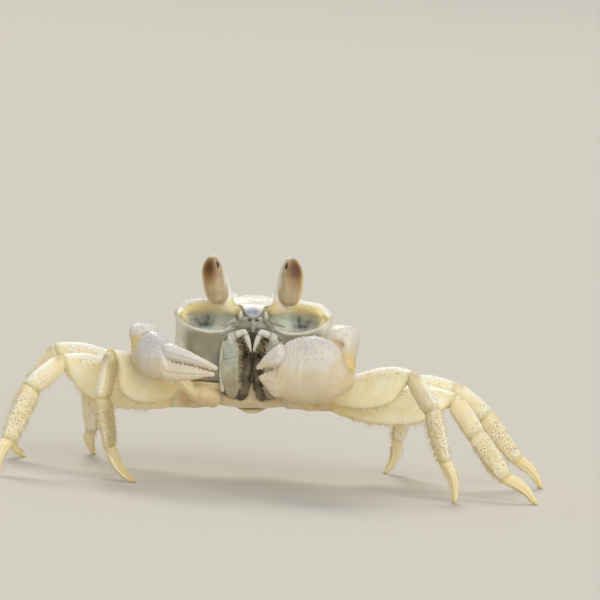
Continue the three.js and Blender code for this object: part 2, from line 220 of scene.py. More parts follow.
def ovalRings(centres, across, up, half, rise, drop, cols, roundness):   # also gives each point's angle
    angle = 2 * math.pi * (np.arange(cols) + 0.5) / cols
    c, s = np.cos(angle), np.sin(angle)
    radius = (np.abs(c) ** roundness + np.abs(s) ** roundness) ** (-1 / roundness)
    side, height = c * radius, s * radius
    reach = np.where(height > 0, rise[:, None], drop[:, None]) * height
    across, up = [np.broadcast_to(way, centres.shape)[:, None] for way in (across, up)]
    rings = centres[:, None] + across * (half[:, None] * side)[..., None] + up * reach[..., None]
    return rings, np.broadcast_to(angle, reach.shape)


def domedRows(count, blunt):       # places from 0 to 1 with rows crowded at both rounded ends
    cap = blunt * (1 - np.cos(np.linspace(0.12, math.pi / 2, 8, endpoint=False)))
    return np.concatenate([cap, np.linspace(blunt, 1 - blunt, count), 1 - cap[::-1]])


def domed(t, blunt):               # how much of its full size a row near a rounded end has
    edge = clamped(np.minimum(t, 1 - t) / blunt)
    return np.sqrt(1 - (1 - edge) ** 2)


def sweptFrames(path):
    along = unit(np.gradient(path, axis=0))
    across = unit(np.cross(along, front))
    return across, np.cross(across, along)


# Fields: negative inside a shape, and about the distance in millimetres near its surface

def fieldGrid(low, high, step):
    return np.meshgrid(*[np.arange(a, b + step, step) for a, b in zip(low, high)], indexing="ij")


def evened(field, step):
    slopes = np.gradient(field, step)
    return field / np.maximum(np.sqrt(sum(slope ** 2 for slope in slopes)), 0.05)


def ellipsoid(grid, centre, radii):
    p = [axis - c for axis, c in zip(grid, centre)]
    near = np.sqrt(sum((q / r) ** 2 for q, r in zip(p, radii)))
    slope = np.sqrt(sum((q / r ** 2) ** 2 for q, r in zip(p, radii)))
    return near * (near - 1) / np.maximum(slope, 1e-6)


def roundCone(grid, a, b, radiusA, radiusB):
    p = [axis - c for axis, c in zip(grid, a)]
    way = np.subtract(b, a)
    t = clamped(sum(q * w for q, w in zip(p, way)) / np.dot(way, way))
    return np.sqrt(sum((q - w * t) ** 2 for q, w in zip(p, way))) - mix(radiusA, radiusB, t)


def chained(grid, stations, side=1, links=16):   # one tapering limb along a smooth path
    path, radius = limbPath(stations, np.linspace(0, 1, links + 1), side)
    cones = [roundCone(grid, path[i], path[i + 1], radius[i], radius[i + 1]) for i in range(links)]
    return np.minimum.reduce(cones)


def union(a, b, soft):
    h = clamped(0.5 + 0.5 * (b - a) / soft)
    return mix(b, a, h) - soft * h * (1 - h)


def common(a, b, soft):
    return -union(-a, -b, soft)


def without(a, b, soft):
    return common(a, -b, soft)


def edgeBead(a, b, radius):        # a bead along the line where two surfaces cross
    return np.sqrt(a ** 2 + b ** 2) - radius


def lineDistance(u, v, line):      # squared distance from a drawn line
    nearest = np.full(np.shape(u), 99.0)
    for (au, av), (bu, bv) in zip(line[:-1], line[1:]):
        du, dv = bu - au, bv - av
        t = clamped(((u - au) * du + (v - av) * dv) / (du * du + dv * dv))
        nearest = np.minimum(nearest, (u - au - t * du) ** 2 + (v - av - t * dv) ** 2)
    return nearest


def groove(u, v, line, width):     # 1 on a drawn line, fading to 0 beside it
    return np.exp(-lineDistance(u, v, line) / width ** 2)


def closedCurve(points, per=8):    # a smooth line through the points and back to the first
    points = np.asarray(points, float)
    before, after, beyond = [np.roll(points, -k, axis=0) for k in (-1, 1, 2)]
    t = (np.arange(per) / per)[:, None, None]
    curve = 0.5 * (2 * points + (after - before) * t + (2 * before - 5 * points + 4 * after - beyond) * t ** 2
                   + (3 * points - 3 * after + beyond - before) * t ** 3)
    return curve.transpose(1, 0, 2).reshape(-1, 2)


def outlineField(u, v, points):    # signed distance from the closed curve through the points
    line = closedCurve(points)
    line = np.append(line, line[:1], axis=0)
    inside = np.zeros(np.shape(u), bool)
    for (au, av), (bu, bv) in zip(line[:-1], line[1:]):
        if av != bv:
            inside ^= ((av > v) != (bv > v)) & (u < au + (bu - au) * (v - av) / (bv - av))
    return np.where(inside, -1, 1) * np.sqrt(lineDistance(u, v, line))


def sampled(field, places):
    base = np.clip(np.floor(places).astype(int), 0, np.array(field.shape) - 2)
    return fromCorners(base, places - base, lambda corner: field[tuple(corner.T)])


def netOver(field, low, step):     # points and faces of the surface where the field is 0, and its normals
    inside = field < 0
    cells = [slice(None, -1), slice(1, None)]
    count = sum(inside[cells[i], cells[j], cells[k]].astype(np.int8) for i, j, k in product((0, 1), repeat=3))
    active = (count > 0) & (count < 8)
    number = np.full(active.shape, -1)
    number[active] = np.arange(active.sum())
    cell = np.argwhere(active)
    total, hits = np.zeros(cell.shape), np.zeros(len(cell))
    steps = np.eye(3, dtype=int)
    for start, axis in product(product((0, 1), repeat=3), range(3)):
        if start[axis]:
            continue
        a, b = [field[tuple((cell + end).T)] for end in (start, start + steps[axis])]
        crossing = (a < 0) != (b < 0)
        t = np.where(crossing, a / np.where(crossing, a - b, 1), 0)
        total[crossing] += (np.array(start) + steps[axis] * t[:, None])[crossing]
        hits += crossing
    places = cell + total / hits[:, None]
    slopes = np.gradient(field, step)
    for turn in range(2):
        normal = np.stack([sampled(slope, places) for slope in slopes], -1)
        length = np.maximum(np.sum(normal ** 2, -1), 0.04)
        places = places - np.clip(sampled(field, places) / length, -step, step)[:, None] * normal / step * 0.8
    quads = []
    for axis in range(3):
        u, v = steps[(axis + 1) % 3], steps[(axis + 2) % 3]
        edge = np.argwhere(np.diff(inside, axis=axis))
        edge = edge[np.all(edge[:, [a for a in range(3) if a != axis]] > 0, axis=1)]
        ring = np.stack([number[tuple((edge - o).T)] for o in (0 * u, u, u + v, v)], -1)
        leaving = inside[tuple(edge.T)]
        quads.append(np.where(leaving[:, None], ring, ring[:, ::-1]))
    return np.asarray(low) + places * step, facesOut(places, [np.concatenate(quads)]), unit(normal)


# Materials

def linear(code, alpha=1.0):       # an sRGB hex colour as linear values
    parts = [int(code[i:i + 2], 16) / 255 for i in (1, 3, 5)]
    return tuple(c / 12.92 if c <= 0.04045 else ((c + 0.055) / 1.055) ** 2.4 for c in parts) + (alpha,)


def addNode(tree, kind, settings=(), links=()):
    node = tree.nodes.new(kind)
    for name, value in dict(settings).items():
        if isinstance(name, str) and hasattr(node, name):
            setattr(node, name, value)
        else:
            node.inputs[name].default_value = value
    for name, source in dict(links).items():
        tree.links.new(source, node.inputs[name])
    return node.outputs


def calculated(tree, operation, a, b):
    return addNode(tree, "ShaderNodeMath", {"operation": operation}, {0: a, 1: b})[0]


def painted(tree, factor, below, above):   # a hex colour laid over another colour or over a socket
    base, top = 6, 7               # the colour sockets of a mix node
    settings = {"data_type": "RGBA", top: linear(above)}
    links = {"Factor": factor}
    if isinstance(below, str):
        settings[base] = linear(below)
    else:
        links[base] = below
    return addNode(tree, "ShaderNodeMix", settings, links)[2]


def mapped(tree, value, low, high):
    settings = {"interpolation_type": "SMOOTHSTEP", "From Min": low, "From Max": high}
    return addNode(tree, "ShaderNodeMapRange", settings, {"Value": value})["Result"]


def mark(tree, name):
    return addNode(tree, "ShaderNodeAttribute", {"attribute_name": name})["Fac"]


# Crab shell is chitin hardened with chalk: matt and faintly glossy, with light glowing through
# where it is thin, cloudy in colour and strewn with fine dark pigment dots. Every material
# starts from these values. Sizes are in mm; marks are laid over the clouds in their order.
shellValues = {
    "ior": 1.54, "depths": (1.0, 0.72, 0.42), "coat": 0.08, "coatRoughness": 0.03, "cloudDetail": 4.0,
    "cloudRange": (0.35, 0.68), "marks": (), "dots": (), "relief": "granules", "reliefDepth": 0.04,
}
looks = {
    "carapace shell": {
        "base": "#cbc8b2", "cloud": "#b9b79f", "dot": "#6f6c62", "roughness": 0.42, "glow": 0.3,
        "glowReach": 0.9, "cloudSize": 2.2, "dots": ((0.75, 0.28), (0.4, 0.26)), "grain": 0.2, "bump": 0.5,
        # Painted light in this palette: cheek is painted shade, tan and warm are mostly painted glow through
        # the thin orbit walls, pale is mostly painted top light, and dusk is partly painted shade.
        "marks": (("sand", "#b39b72"), ("cheek", "#908871"), ("mint", "#d2d8c2"), ("cream", "#e6d8b0"),
                  ("tan", "#dcc493"), ("warm", "#f0e3a4"), ("pale", "#f6f4ea"), ("dusk", "#59625e"),
                  ("blue", "#7883a2"))},
    "underside shell": {
        "base": "#f1e3bf", "cloud": "#e9d6a8", "dot": "#a98d5e", "roughness": 0.45, "glow": 0.45,
        "glowReach": 1.1, "cloudSize": 1.8, "dots": ((0.6, 0.22),), "grain": 0.24, "bump": 0.4,
        "marks": (("warm", "#dfc088"), ("pale", "#f6edd3"), ("dusk", "#ac926a"), ("grey", "#c3bea6"))},
    "leg shell": {
        "base": "#fff4d4", "cloud": "#fbebbf", "dot": "#443a26", "roughness": 0.44, "glow": 0.6,
        "glowReach": 0.6, "cloudSize": 1.6, "dots": ((0.24, 0.3), (0.17, 0.34)), "grain": 0.18, "bump": 0.45,
        # olive lays painted shade; pale is partly a painted highlight along the upper edges.
        "marks": (("warm", "#f2da92"), ("olive", "#a38c52"), ("pale", "#fdfaf0"), ("dusk", "#5b5f66"))},
    "claw shell": {
        "base": "#dfd1b2", "cloud": "#d5c6a4", "dot": "#6b6662", "roughness": 0.36, "glow": 0.3,
        "glowReach": 1.0, "cloudSize": 2.0, "dots": ((0.28, 0.26), (0.19, 0.26)), "grain": 0.22, "bump": 0.3,
        # warm below and pale and blue above are partly painted shade, top light and sky sheen.
        "marks": (("warm", "#e2c688"), ("pale", "#ebe7df"), ("blue", "#d3d5da"), ("dusk", "#9a94a0"))},
    "mouthpart shell": {
        "base": "#bfc0aa", "cloud": "#adaf9a", "dot": "#7b7c70", "roughness": 0.42, "glow": 0.3,
        "glowReach": 0.7, "cloudSize": 1.2, "dots": ((0.4, 0.2),), "grain": 0.16, "bump": 0.35,
        # dusk is partly painted shade, in the plates' creases and over the inner mouth.
        "marks": (("warm", "#cfc08c"), ("teal", "#b3bdb0"), ("pale", "#eceade"), ("dusk", "#54432d"))},
    "eyestalk shell": {
        "base": "#efe4c4", "cloud": "#e2d3a4", "dot": "#a79a78", "roughness": 0.35, "glow": 0.4,
        "glowReach": 0.8, "cloudSize": 1.2, "dots": ((0.5, 0.2),), "grain": 0.18, "bump": 0.25,
        "marks": (("warm", "#e3cc7e"), ("pale", "#f9f5ea"), ("dusk", "#8f8148"))},
    # A clear skin over close-packed facets, dark brown where the pigment lies behind it. Facets
    # are about 0.03 mm across in life and are drawn at 0.11 mm so that they show.
    "cornea": {
        "base": "#c3b18c", "cloud": "#b09b76", "roughness": 0.36, "ior": 1.4, "glow": 0.25,
        "depths": (1.0, 0.6, 0.3), "glowReach": 0.8, "coat": 0.04, "coatRoughness": 0.1, "cloudSize": 1.1,
        "cloudDetail": 3.0, "cloudRange": (0.3, 0.7), "relief": "facets", "reliefDepth": 0.015,
        "grain": 0.11, "bump": 0.1,
        "marks": (("rust", "#98692f"), ("warm", "#f8dea0"), ("pale", "#f6efdf"), ("dusk", "#5a3602"),
                  ("slit", "#1a100a"))},
    # Soft unhardened skin in small folds, yellow and damp looking.
    "joint membrane": {
        "base": "#f1e0ae", "cloud": "#e6cd8c", "roughness": 0.38, "ior": 1.45, "glow": 0.5,
        "depths": (1.0, 0.55, 0.2), "glowReach": 0.4, "coat": 0, "cloudSize": 0.8, "cloudDetail": 3.0,
        "cloudRange": (0.35, 0.65), "relief": "folds", "bump": 0.3},
    # Hollow chitin bristles, straw coloured and paler in patches.
    "setae": {
        "base": "#cdb678", "cloud": "#ece0bb", "roughness": 0.5, "glow": 0.2, "depths": (1, 0.7, 0.4),
        "glowReach": 0.3, "coat": 0, "cloudSize": 1.5, "cloudDetail": 2.0, "cloudRange": None,
        "relief": None},
}


def addMaterial(name, look):
    look = {**shellValues, **look}
    material = bpy.data.materials.new(name)
    material.use_nodes = True
    tree = material.node_tree
    shader = tree.nodes["Principled BSDF"]
    for socket, value in (("Roughness", "roughness"), ("IOR", "ior"), ("Subsurface Weight", "glow"),
                          ("Subsurface Radius", "depths"), ("Coat Weight", "coat"),
                          ("Coat Roughness", "coatRoughness")):
        shader.inputs[socket].default_value = look[value]
    shader.inputs["Subsurface Scale"].default_value = look["glowReach"] * mm
    place = {"Vector": addNode(tree, "ShaderNodeTexCoord")["Object"]}

    def noise(size, detail):
        return addNode(tree, "ShaderNodeTexNoise", {"Scale": 1 / (size * mm), "Detail": detail}, place)["Fac"]

    def cells(size):
        return addNode(tree, "ShaderNodeTexVoronoi", {"Scale": 1 / (size * mm)}, place)

    clouds = noise(look["cloudSize"], look["cloudDetail"])
    cover = mapped(tree, clouds, *look["cloudRange"]) if look["cloudRange"] else clouds
    colour = painted(tree, cover, look["base"], look["cloud"])
    for layer, tone in look["marks"]:
        colour = painted(tree, mark(tree, layer), colour, tone)
    for spacing, size in look["dots"]:     # each size of pigment dot lies inside its own cell
        cell = cells(spacing)
        dot = mapped(tree, cell["Distance"], size, size * 0.55)
        dot = calculated(tree, "MULTIPLY", dot, mapped(tree, cell["Color"], 0.25, 0.4))
        colour = painted(tree, calculated(tree, "MULTIPLY", dot, mark(tree, "speck")), colour, look["dot"])
    tree.links.new(colour, shader.inputs["Base Color"])
    if look["relief"]:
        height = clouds            # folds
        if look["relief"] != "folds":
            height = cells(look["grain"])["Distance"]
        if look["relief"] == "granules":
            height = calculated(tree, "SUBTRACT", noise(0.7, 5.0), height)
        settings = {"Strength": look["bump"], "Distance": look["reliefDepth"] * mm,
                    "invert": look["relief"] == "facets"}
        bump = addNode(tree, "ShaderNodeBump", settings, {"Height": height})
        tree.links.new(bump["Normal"], shader.inputs["Normal"])
    return material


finish = {name: addMaterial(name, look) for name, look in looks.items()}
print("materials made")


# The trunk's own frame: its middle at the origin, +X the crab's left, -Y forwards

stance = {"shift": -0.9, "height": 15.0, "roll": 2.0}
trunkTurn = aboutY(-stance["roll"])
trunkPlace = np.array([stance["shift"], 0, stance["height"]])


def fromTrunk(points):
    return np.asarray(points, float) @ trunkTurn.T + trunkPlace


def addTrunkPiece(name, points, faces, marks, look, slot, *nodes):
    addPiece(name, (fromTrunk(points), faces, marks), look, slot, *nodes)


# Lengths of merus, carpus, propodus and dactyl, where each leg leaves the trunk, and its stance:
# heading from straight out and rise of three segments, the foot's heading and the merus's sag.
legs = {
    1: {"lengths": (11, 5.5, 6.5, 5.4), "hip": (9.5, -5.2, -3.7), "depth": 1.0,
        "right": {"ways": ((37, 25), (71, -67), (-133, -75)), "foot": 180, "sag": 1.0},
        "left": {"ways": ((16, 17), (46, -43), (44, -66)), "foot": 20, "sag": 0.2}},
    2: {"lengths": (15.3, 5.6, 7, 5.2), "hip": (9.9, -2.2, -5.1), "depth": 1.16,
        "right": {"ways": ((20, 17), (40, -34), (20, -68)), "foot": 70, "sag": 0.2},
        "left": {"ways": ((2, 5.5), (36, -46), (44, -42)), "foot": 20, "sag": 0.3}},
    3: {"lengths": (15.5, 5.6, 7.1, 5.2), "hip": (10.1, 0.9, -5.1), "depth": 1.1,
        "right": {"ways": ((-6, 19), (-33, -50), (0, -67)), "foot": -123, "sag": 0.0},
        "left": {"ways": ((-12, 8.5), (-12, -36), (-14, -51)), "foot": -20, "sag": 0.1}},
    4: {"lengths": (11, 4.3, 5.2, 4.8), "hip": (10, 4.2, -5.2), "depth": 0.95,
        "right": {"ways": ((-20, 13), (-72, -52), (-110, -74)), "foot": -98, "sag": 0.0},
        "left": {"ways": ((-16, 11), (-102, -43), (-117, -67)), "foot": -150, "sag": 0.0}},
}
footBow = 0.55                     # how far a walking dactyl bends out of the straight


def wayOf(side, heading, rise):
    heading, rise = math.radians(heading), math.radians(rise)
    level = math.cos(rise)
    return np.array([side * level * math.cos(heading), -level * math.sin(heading), math.sin(rise)])


def legJoints(sideName, leg):
    side, pose = sides[sideName], leg[sideName]
    joints = [fromTrunk(np.array(leg["hip"]) * (side, 1, 1))]
    for (heading, rise), length in zip(pose["ways"], leg["lengths"]):
        joints.append(joints[-1] + length * wayOf(side, heading, rise))
    last = leg["lengths"][3]
    fall = math.degrees(math.asin(joints[3][2] / last))
    joints.append(joints[3] + last * wayOf(side, pose["foot"], -fall))
    return np.array(joints)


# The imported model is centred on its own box: the feet's flats say how far it was moved.
def footFlat(node):
    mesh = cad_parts[node].data
    points = np.empty(3 * len(mesh.vertices))
    mesh.vertices.foreach_get("co", points)
    points = points.reshape(-1, 3) / mm
    flat = points[points[:, 2] < 0.01]
    return (flat.min(0) + flat.max(0)) / 2


legRows = [(number, sideName) for number in legs for sideName in sides]
moves = [footFlat(f"leg{number}_dactyl_{sideName}") - legJoints(sideName, legs[number])[4]
         for number, sideName in legRows]
recentre = np.mean(moves, axis=0) * (1, 1, 0)
trunkPlace = trunkPlace + recentre
print("recentred by", recentre.round(3), "spread", np.ptp(moves, axis=0).round(3))


# Carapace: the deep squarish shell with its orbits, front lobe, epistome and side walls

carapace = {
    "halfWidth": 10.0, "taper": 0.36, "squareFront": 5.5, "squareBack": 3.4, "seam": -2.2, "step": 0.13,
    # height, then half width share, front and back reach
    "levels": ((-6, 0.42, 4.4, 3.8), (-5.2, 0.64, 6.4, 5.4), (-3.5, 0.8, 7.3, 6.8), (-1, 0.92, 7.75, 7.9),
               (2, 0.975, 8.15, 8.4), (4.2, 0.97, 8.5, 8.1), (5.2, 0.975, 8.2, 7.8), (6.2, 0.985, 7.9, 7.3),
               (7.2, 0.97, 7.55, 6.9), (8.2, 0.95, 7.4, 6.6)),
    # height of the back across its middle, and of the front edge over the eyes
    "back": ((0, 7.94), (1.5, 8.0), (2.7, 8.06), (3.7, 7.93), (5.7, 7.5), (7.4, 6.95), (8.9, 6.3),
             (10.4, 5.5)),
    "brow": ((0, 7.5), (1.9, 7.3), (3.2, 7.15), (4.4, 7.6), (5.6, 7.98), (6.7, 8.02), (7.9, 7.86),
             (8.9, 7.32), (9.7, 6.6), (10.4, 6.2)),
    # outlines as seen from the front: across and height
    "orbit": ((2.3, 5.9), (2.4, 6.5), (3.2, 6.7), (4.2, 7.05), (5.5, 7.47), (6.8, 7.47), (8.0, 7.15),
              (8.9, 6.6), (9.35, 6.05), (9.15, 5.45), (8.4, 4.95), (7.4, 4.55), (6.4, 4.3), (5.3, 4.15),
              (4.2, 4.2), (3.3, 4.5), (2.65, 5.15)),
    "tongue": ((0, 5.93), (0.5, 6.03), (0.95, 6.4), (1.22, 6.9), (1.45, 7.3), (2.1, 7.5), (0, 7.6),
               (-2.1, 7.5), (-1.45, 7.3), (-1.22, 6.9), (-0.95, 6.4), (-0.5, 6.03)),
    "tongueFace": ((5.7, -9.35), (6.3, -9.2), (7.0, -8.7), (7.5, -8.0), (8.1, -6.9)),
    "orbitFloor": ((4.1, -8.55), (7.5, -7.45)), "orbitDepth": 1.45, "pitDepth": 0.45,
    "mouth": {"halfWidth": 3.9, "top": 4.1, "bottom": -4.6, "back": -6.4},
    "grooves": (((1.3, -5.6), (1.9, -3.6), (2.5, -1.4), (1.7, 0.4), (1.6, 2.2), (2.4, 4.6)),
                ((0, 0.7), (1.7, 0.4)), ((2.5, -1.4), (4.2, -2.5), (6.6, -2.9), (8.6, -2.6))),
    "pleuralLine": ((9.2, 3.4), (7.9, 1.6), (6.3, -0.2), (5.0, -2.2)),
    "hindRim": ((0, 0.95), (3.6, 0.9), (5.2, 0.3), (6.2, -0.9), (6.8, -2.4)),
}


def sideWalls(grid):
    x, y, z = grid
    widthShare, reachFront, reachBack = columns(carapace["levels"], z[0, 0])
    narrow = 1 - carapace["taper"] * np.clip(y / reachBack, 0, 1.05) ** 1.6
    power = mix(carapace["squareBack"], carapace["squareFront"], ease(-1.5, -5.5, y) * ease(-2, 2, z))
    lengthwise = np.where(y < 0, -y / reachFront, y / reachBack)
    ring = (np.abs(x) / (widthShare * carapace["halfWidth"] * narrow)) ** power + lengthwise ** power
    return ring ** (1 / power) - 1


def backHeight(ax, y):             # the top surface: arched across, with a raised brow in front
    arch = columns(carapace["back"], ax)[0] - 1.25 * (np.clip(y + 1, 0, None) / 7.4) ** 2.4
    return mix(arch, columns(carapace["brow"], ax)[0], ease(-3.6, -6.9, y))


def mouthField(ax, y, z):
    mouth = carapace["mouth"]
    middle, half = (mouth["top"] + mouth["bottom"]) / 2, (mouth["top"] - mouth["bottom"]) / 2
    opening = common(ax - mouth["halfWidth"], np.abs(z - middle) - half, 2.4)
    return common(opening, y - mouth["back"], 0.6)


def orbitBowl(ax, y, z, rim):      # the shallow bowl that each eye folds into; rim is the outline's distance
    (low, frontLow), (high, frontHigh) = carapace["orbitFloor"]
    opening = mix(frontLow, frontHigh, (z - low) / (high - low))
    bowl = np.sin(math.pi / 2 * clamped(-rim / mix(1.0, 2.0, ease(4.8, 6.6, z))))
    pit = bell(ax, 6.2, 1.7) * bell(z, 5.15, 0.7)
    return y - opening - carapace["orbitDepth"] * bowl - carapace["pitDepth"] * pit


def buildCarapace():
    step, seam = carapace["step"], carapace["seam"]
    low = (-11.3, -11.2, seam - 0.6)
    x, y, z = fieldGrid(low, (11.3, 9.4, 8.9), step)
    ax = np.abs(x)
    mirrored = (ax, y, z)
    fromFront, fromAbove = (ax[:, :1], z[:, :1]), (ax[:, :, :1], y[:, :, :1])
    walls = evened(sideWalls(mirrored), step)
    top = z - backHeight(*fromAbove)
    shell = common(walls, top, mix(0.35, 1.6, ease(-4.5, 1.5, y)))
    # The corner tooth points forwards at the outer end of each brow.
    shell = union(shell, roundCone(mirrored, (8.85, -6.2, 6.25), (9.2, -7.3, 6.2), 0.6, 0.3), 0.45)
    # A granulated margin runs back from it, where the back meets the side wall.
    margin = edgeBead(walls, top, 0.13 + 0.04 * ripple(y, 0.55))
    shell = union(shell, margin + 2 * ease(0.5, 4.0, y) + 2 * ease(8.4, 7.6, ax), 0.2)
    # Orbits: soft at the brow, with a thin raised margin along the lower edge.
    rim = outlineField(*fromFront, carapace["orbit"])
    orbit = evened(common(rim, orbitBowl(ax, y, z, rim), 0.1), step)
    bead = edgeBead(orbit, shell, 0.1 + 0.025 * ripple(ax + 0.6 * z, 0.5))
    shell = without(shell, orbit, mix(0.1, 0.6, ease(5.2, 6.6, z)))
    shell = union(shell, bead + 2 * ease(2.9, 2.2, ax) + 2 * ease(5.7, 6.6, z), 0.14)
    # Front: the tongue that hangs between the eyestalks, with its shallow middle hollow.
    face = columns(carapace["tongueFace"], z[:1, :1])[0] - y
    tongue = common(outlineField(x[:, :1], z[:, :1], carapace["tongue"]), face, 0.5)
    shell = union(shell, common(tongue, y + 6.2, 0.3), 0.3)
    shell = without(shell, ellipsoid(mirrored, (0, -9.45, 7.15), (0.42, 0.85, 0.75)), 0.5)
    # Feeler bases on both sides of it, and the floor under it.
    for centre, radii in (((1.6, -8.5, 6.0), (0.38, 0.6, 0.85)), ((2.05, -8.45, 5.2), (0.5, 0.5, 0.5)),
                          ((0.0, -8.35, 5.55), (1.5, 0.55, 0.7))):
        shell = union(shell, ellipsoid(mirrored, centre, radii), 0.12)
    mouthHole = mouthField(*mirrored)
    mouthRim = edgeBead(mouthHole, shell, 0.2) + 2 * ease(3.9, 4.6, z)
    shell = without(shell, mouthHole, 0.2)
    # Epistome: a ledge over the mouth that ends in a middle tooth, with a low wing on both sides.
    for part in (mouthRim, ellipsoid(mirrored, (0, -7.9, 4.95), (2.6, 1.0, 0.6)),
                 roundCone(mirrored, (0, -8.6, 5.1), (0, -9.15, 4.3), 0.5, 0.12),
                 roundCone(mirrored, (0.7, -8.5, 4.8), (3.3, -8.35, 4.4), 0.26, 0.2)):
        shell = union(shell, part, 0.2)
    # Pits of the small feelers.
    shell = without(shell, ellipsoid(mirrored, (0.48, -9.1, 5.68), (0.26, 0.6, 0.16)), 0.08)
    # Lines over the back and down the cheeks.
    onTop = ease(5.2, 6.4, z)
    for line in carapace["grooves"]:
        shell = shell + 0.3 * ease(-4.0, -1.0, fromAbove[1]) * onTop * groove(*fromAbove, line, 0.42)
    cheek = ease(-5.5, -6.5, y) * ease(4.4, 3.6, z)
    shell = shell + 0.13 * cheek * groove(*fromFront, carapace["pleuralLine"], 0.3)
    # The hind margin is a rim with a furrow in front of it.
    lower = [(u, v + 0.42) for u, v in carapace["hindRim"]]
    hindEdge = 0.16 * groove(*fromFront, lower, 0.28) - 0.14 * groove(*fromFront, carapace["hindRim"], 0.2)
    shell = shell + ease(3.0, 4.6, y) * hindEdge
    # Swellings of the back's regions.
    for u, v, reach, rise in ((0, -2.9, 1.5, 0.05), (4.4, 2.2, 2.6, 0.2), (0, 2.9, 1.5, 0.05)):
        shell = shell - rise * onTop * bell(fromAbove[0], u, reach) * bell(fromAbove[1], v, reach)
    points, faces, normals = netOver(common(shell, seam - z, 0.25), low, step)
    x, y, z = points.T
    grainy = mix(0.35, 1.0, ease(5.4, 6.8, z)) * ease(-8.4, -7.0, y)
    flank = ease(-6.5, -5.0, y) * ease(-2, 1, z)
    lift = 0.07 * np.maximum(grainy, 0.8 * flank) * granules(points, 0.46, 3) + 0.04 * drift(points, 1.3, 5)
    return points + normals * lift[:, None], faces, normals


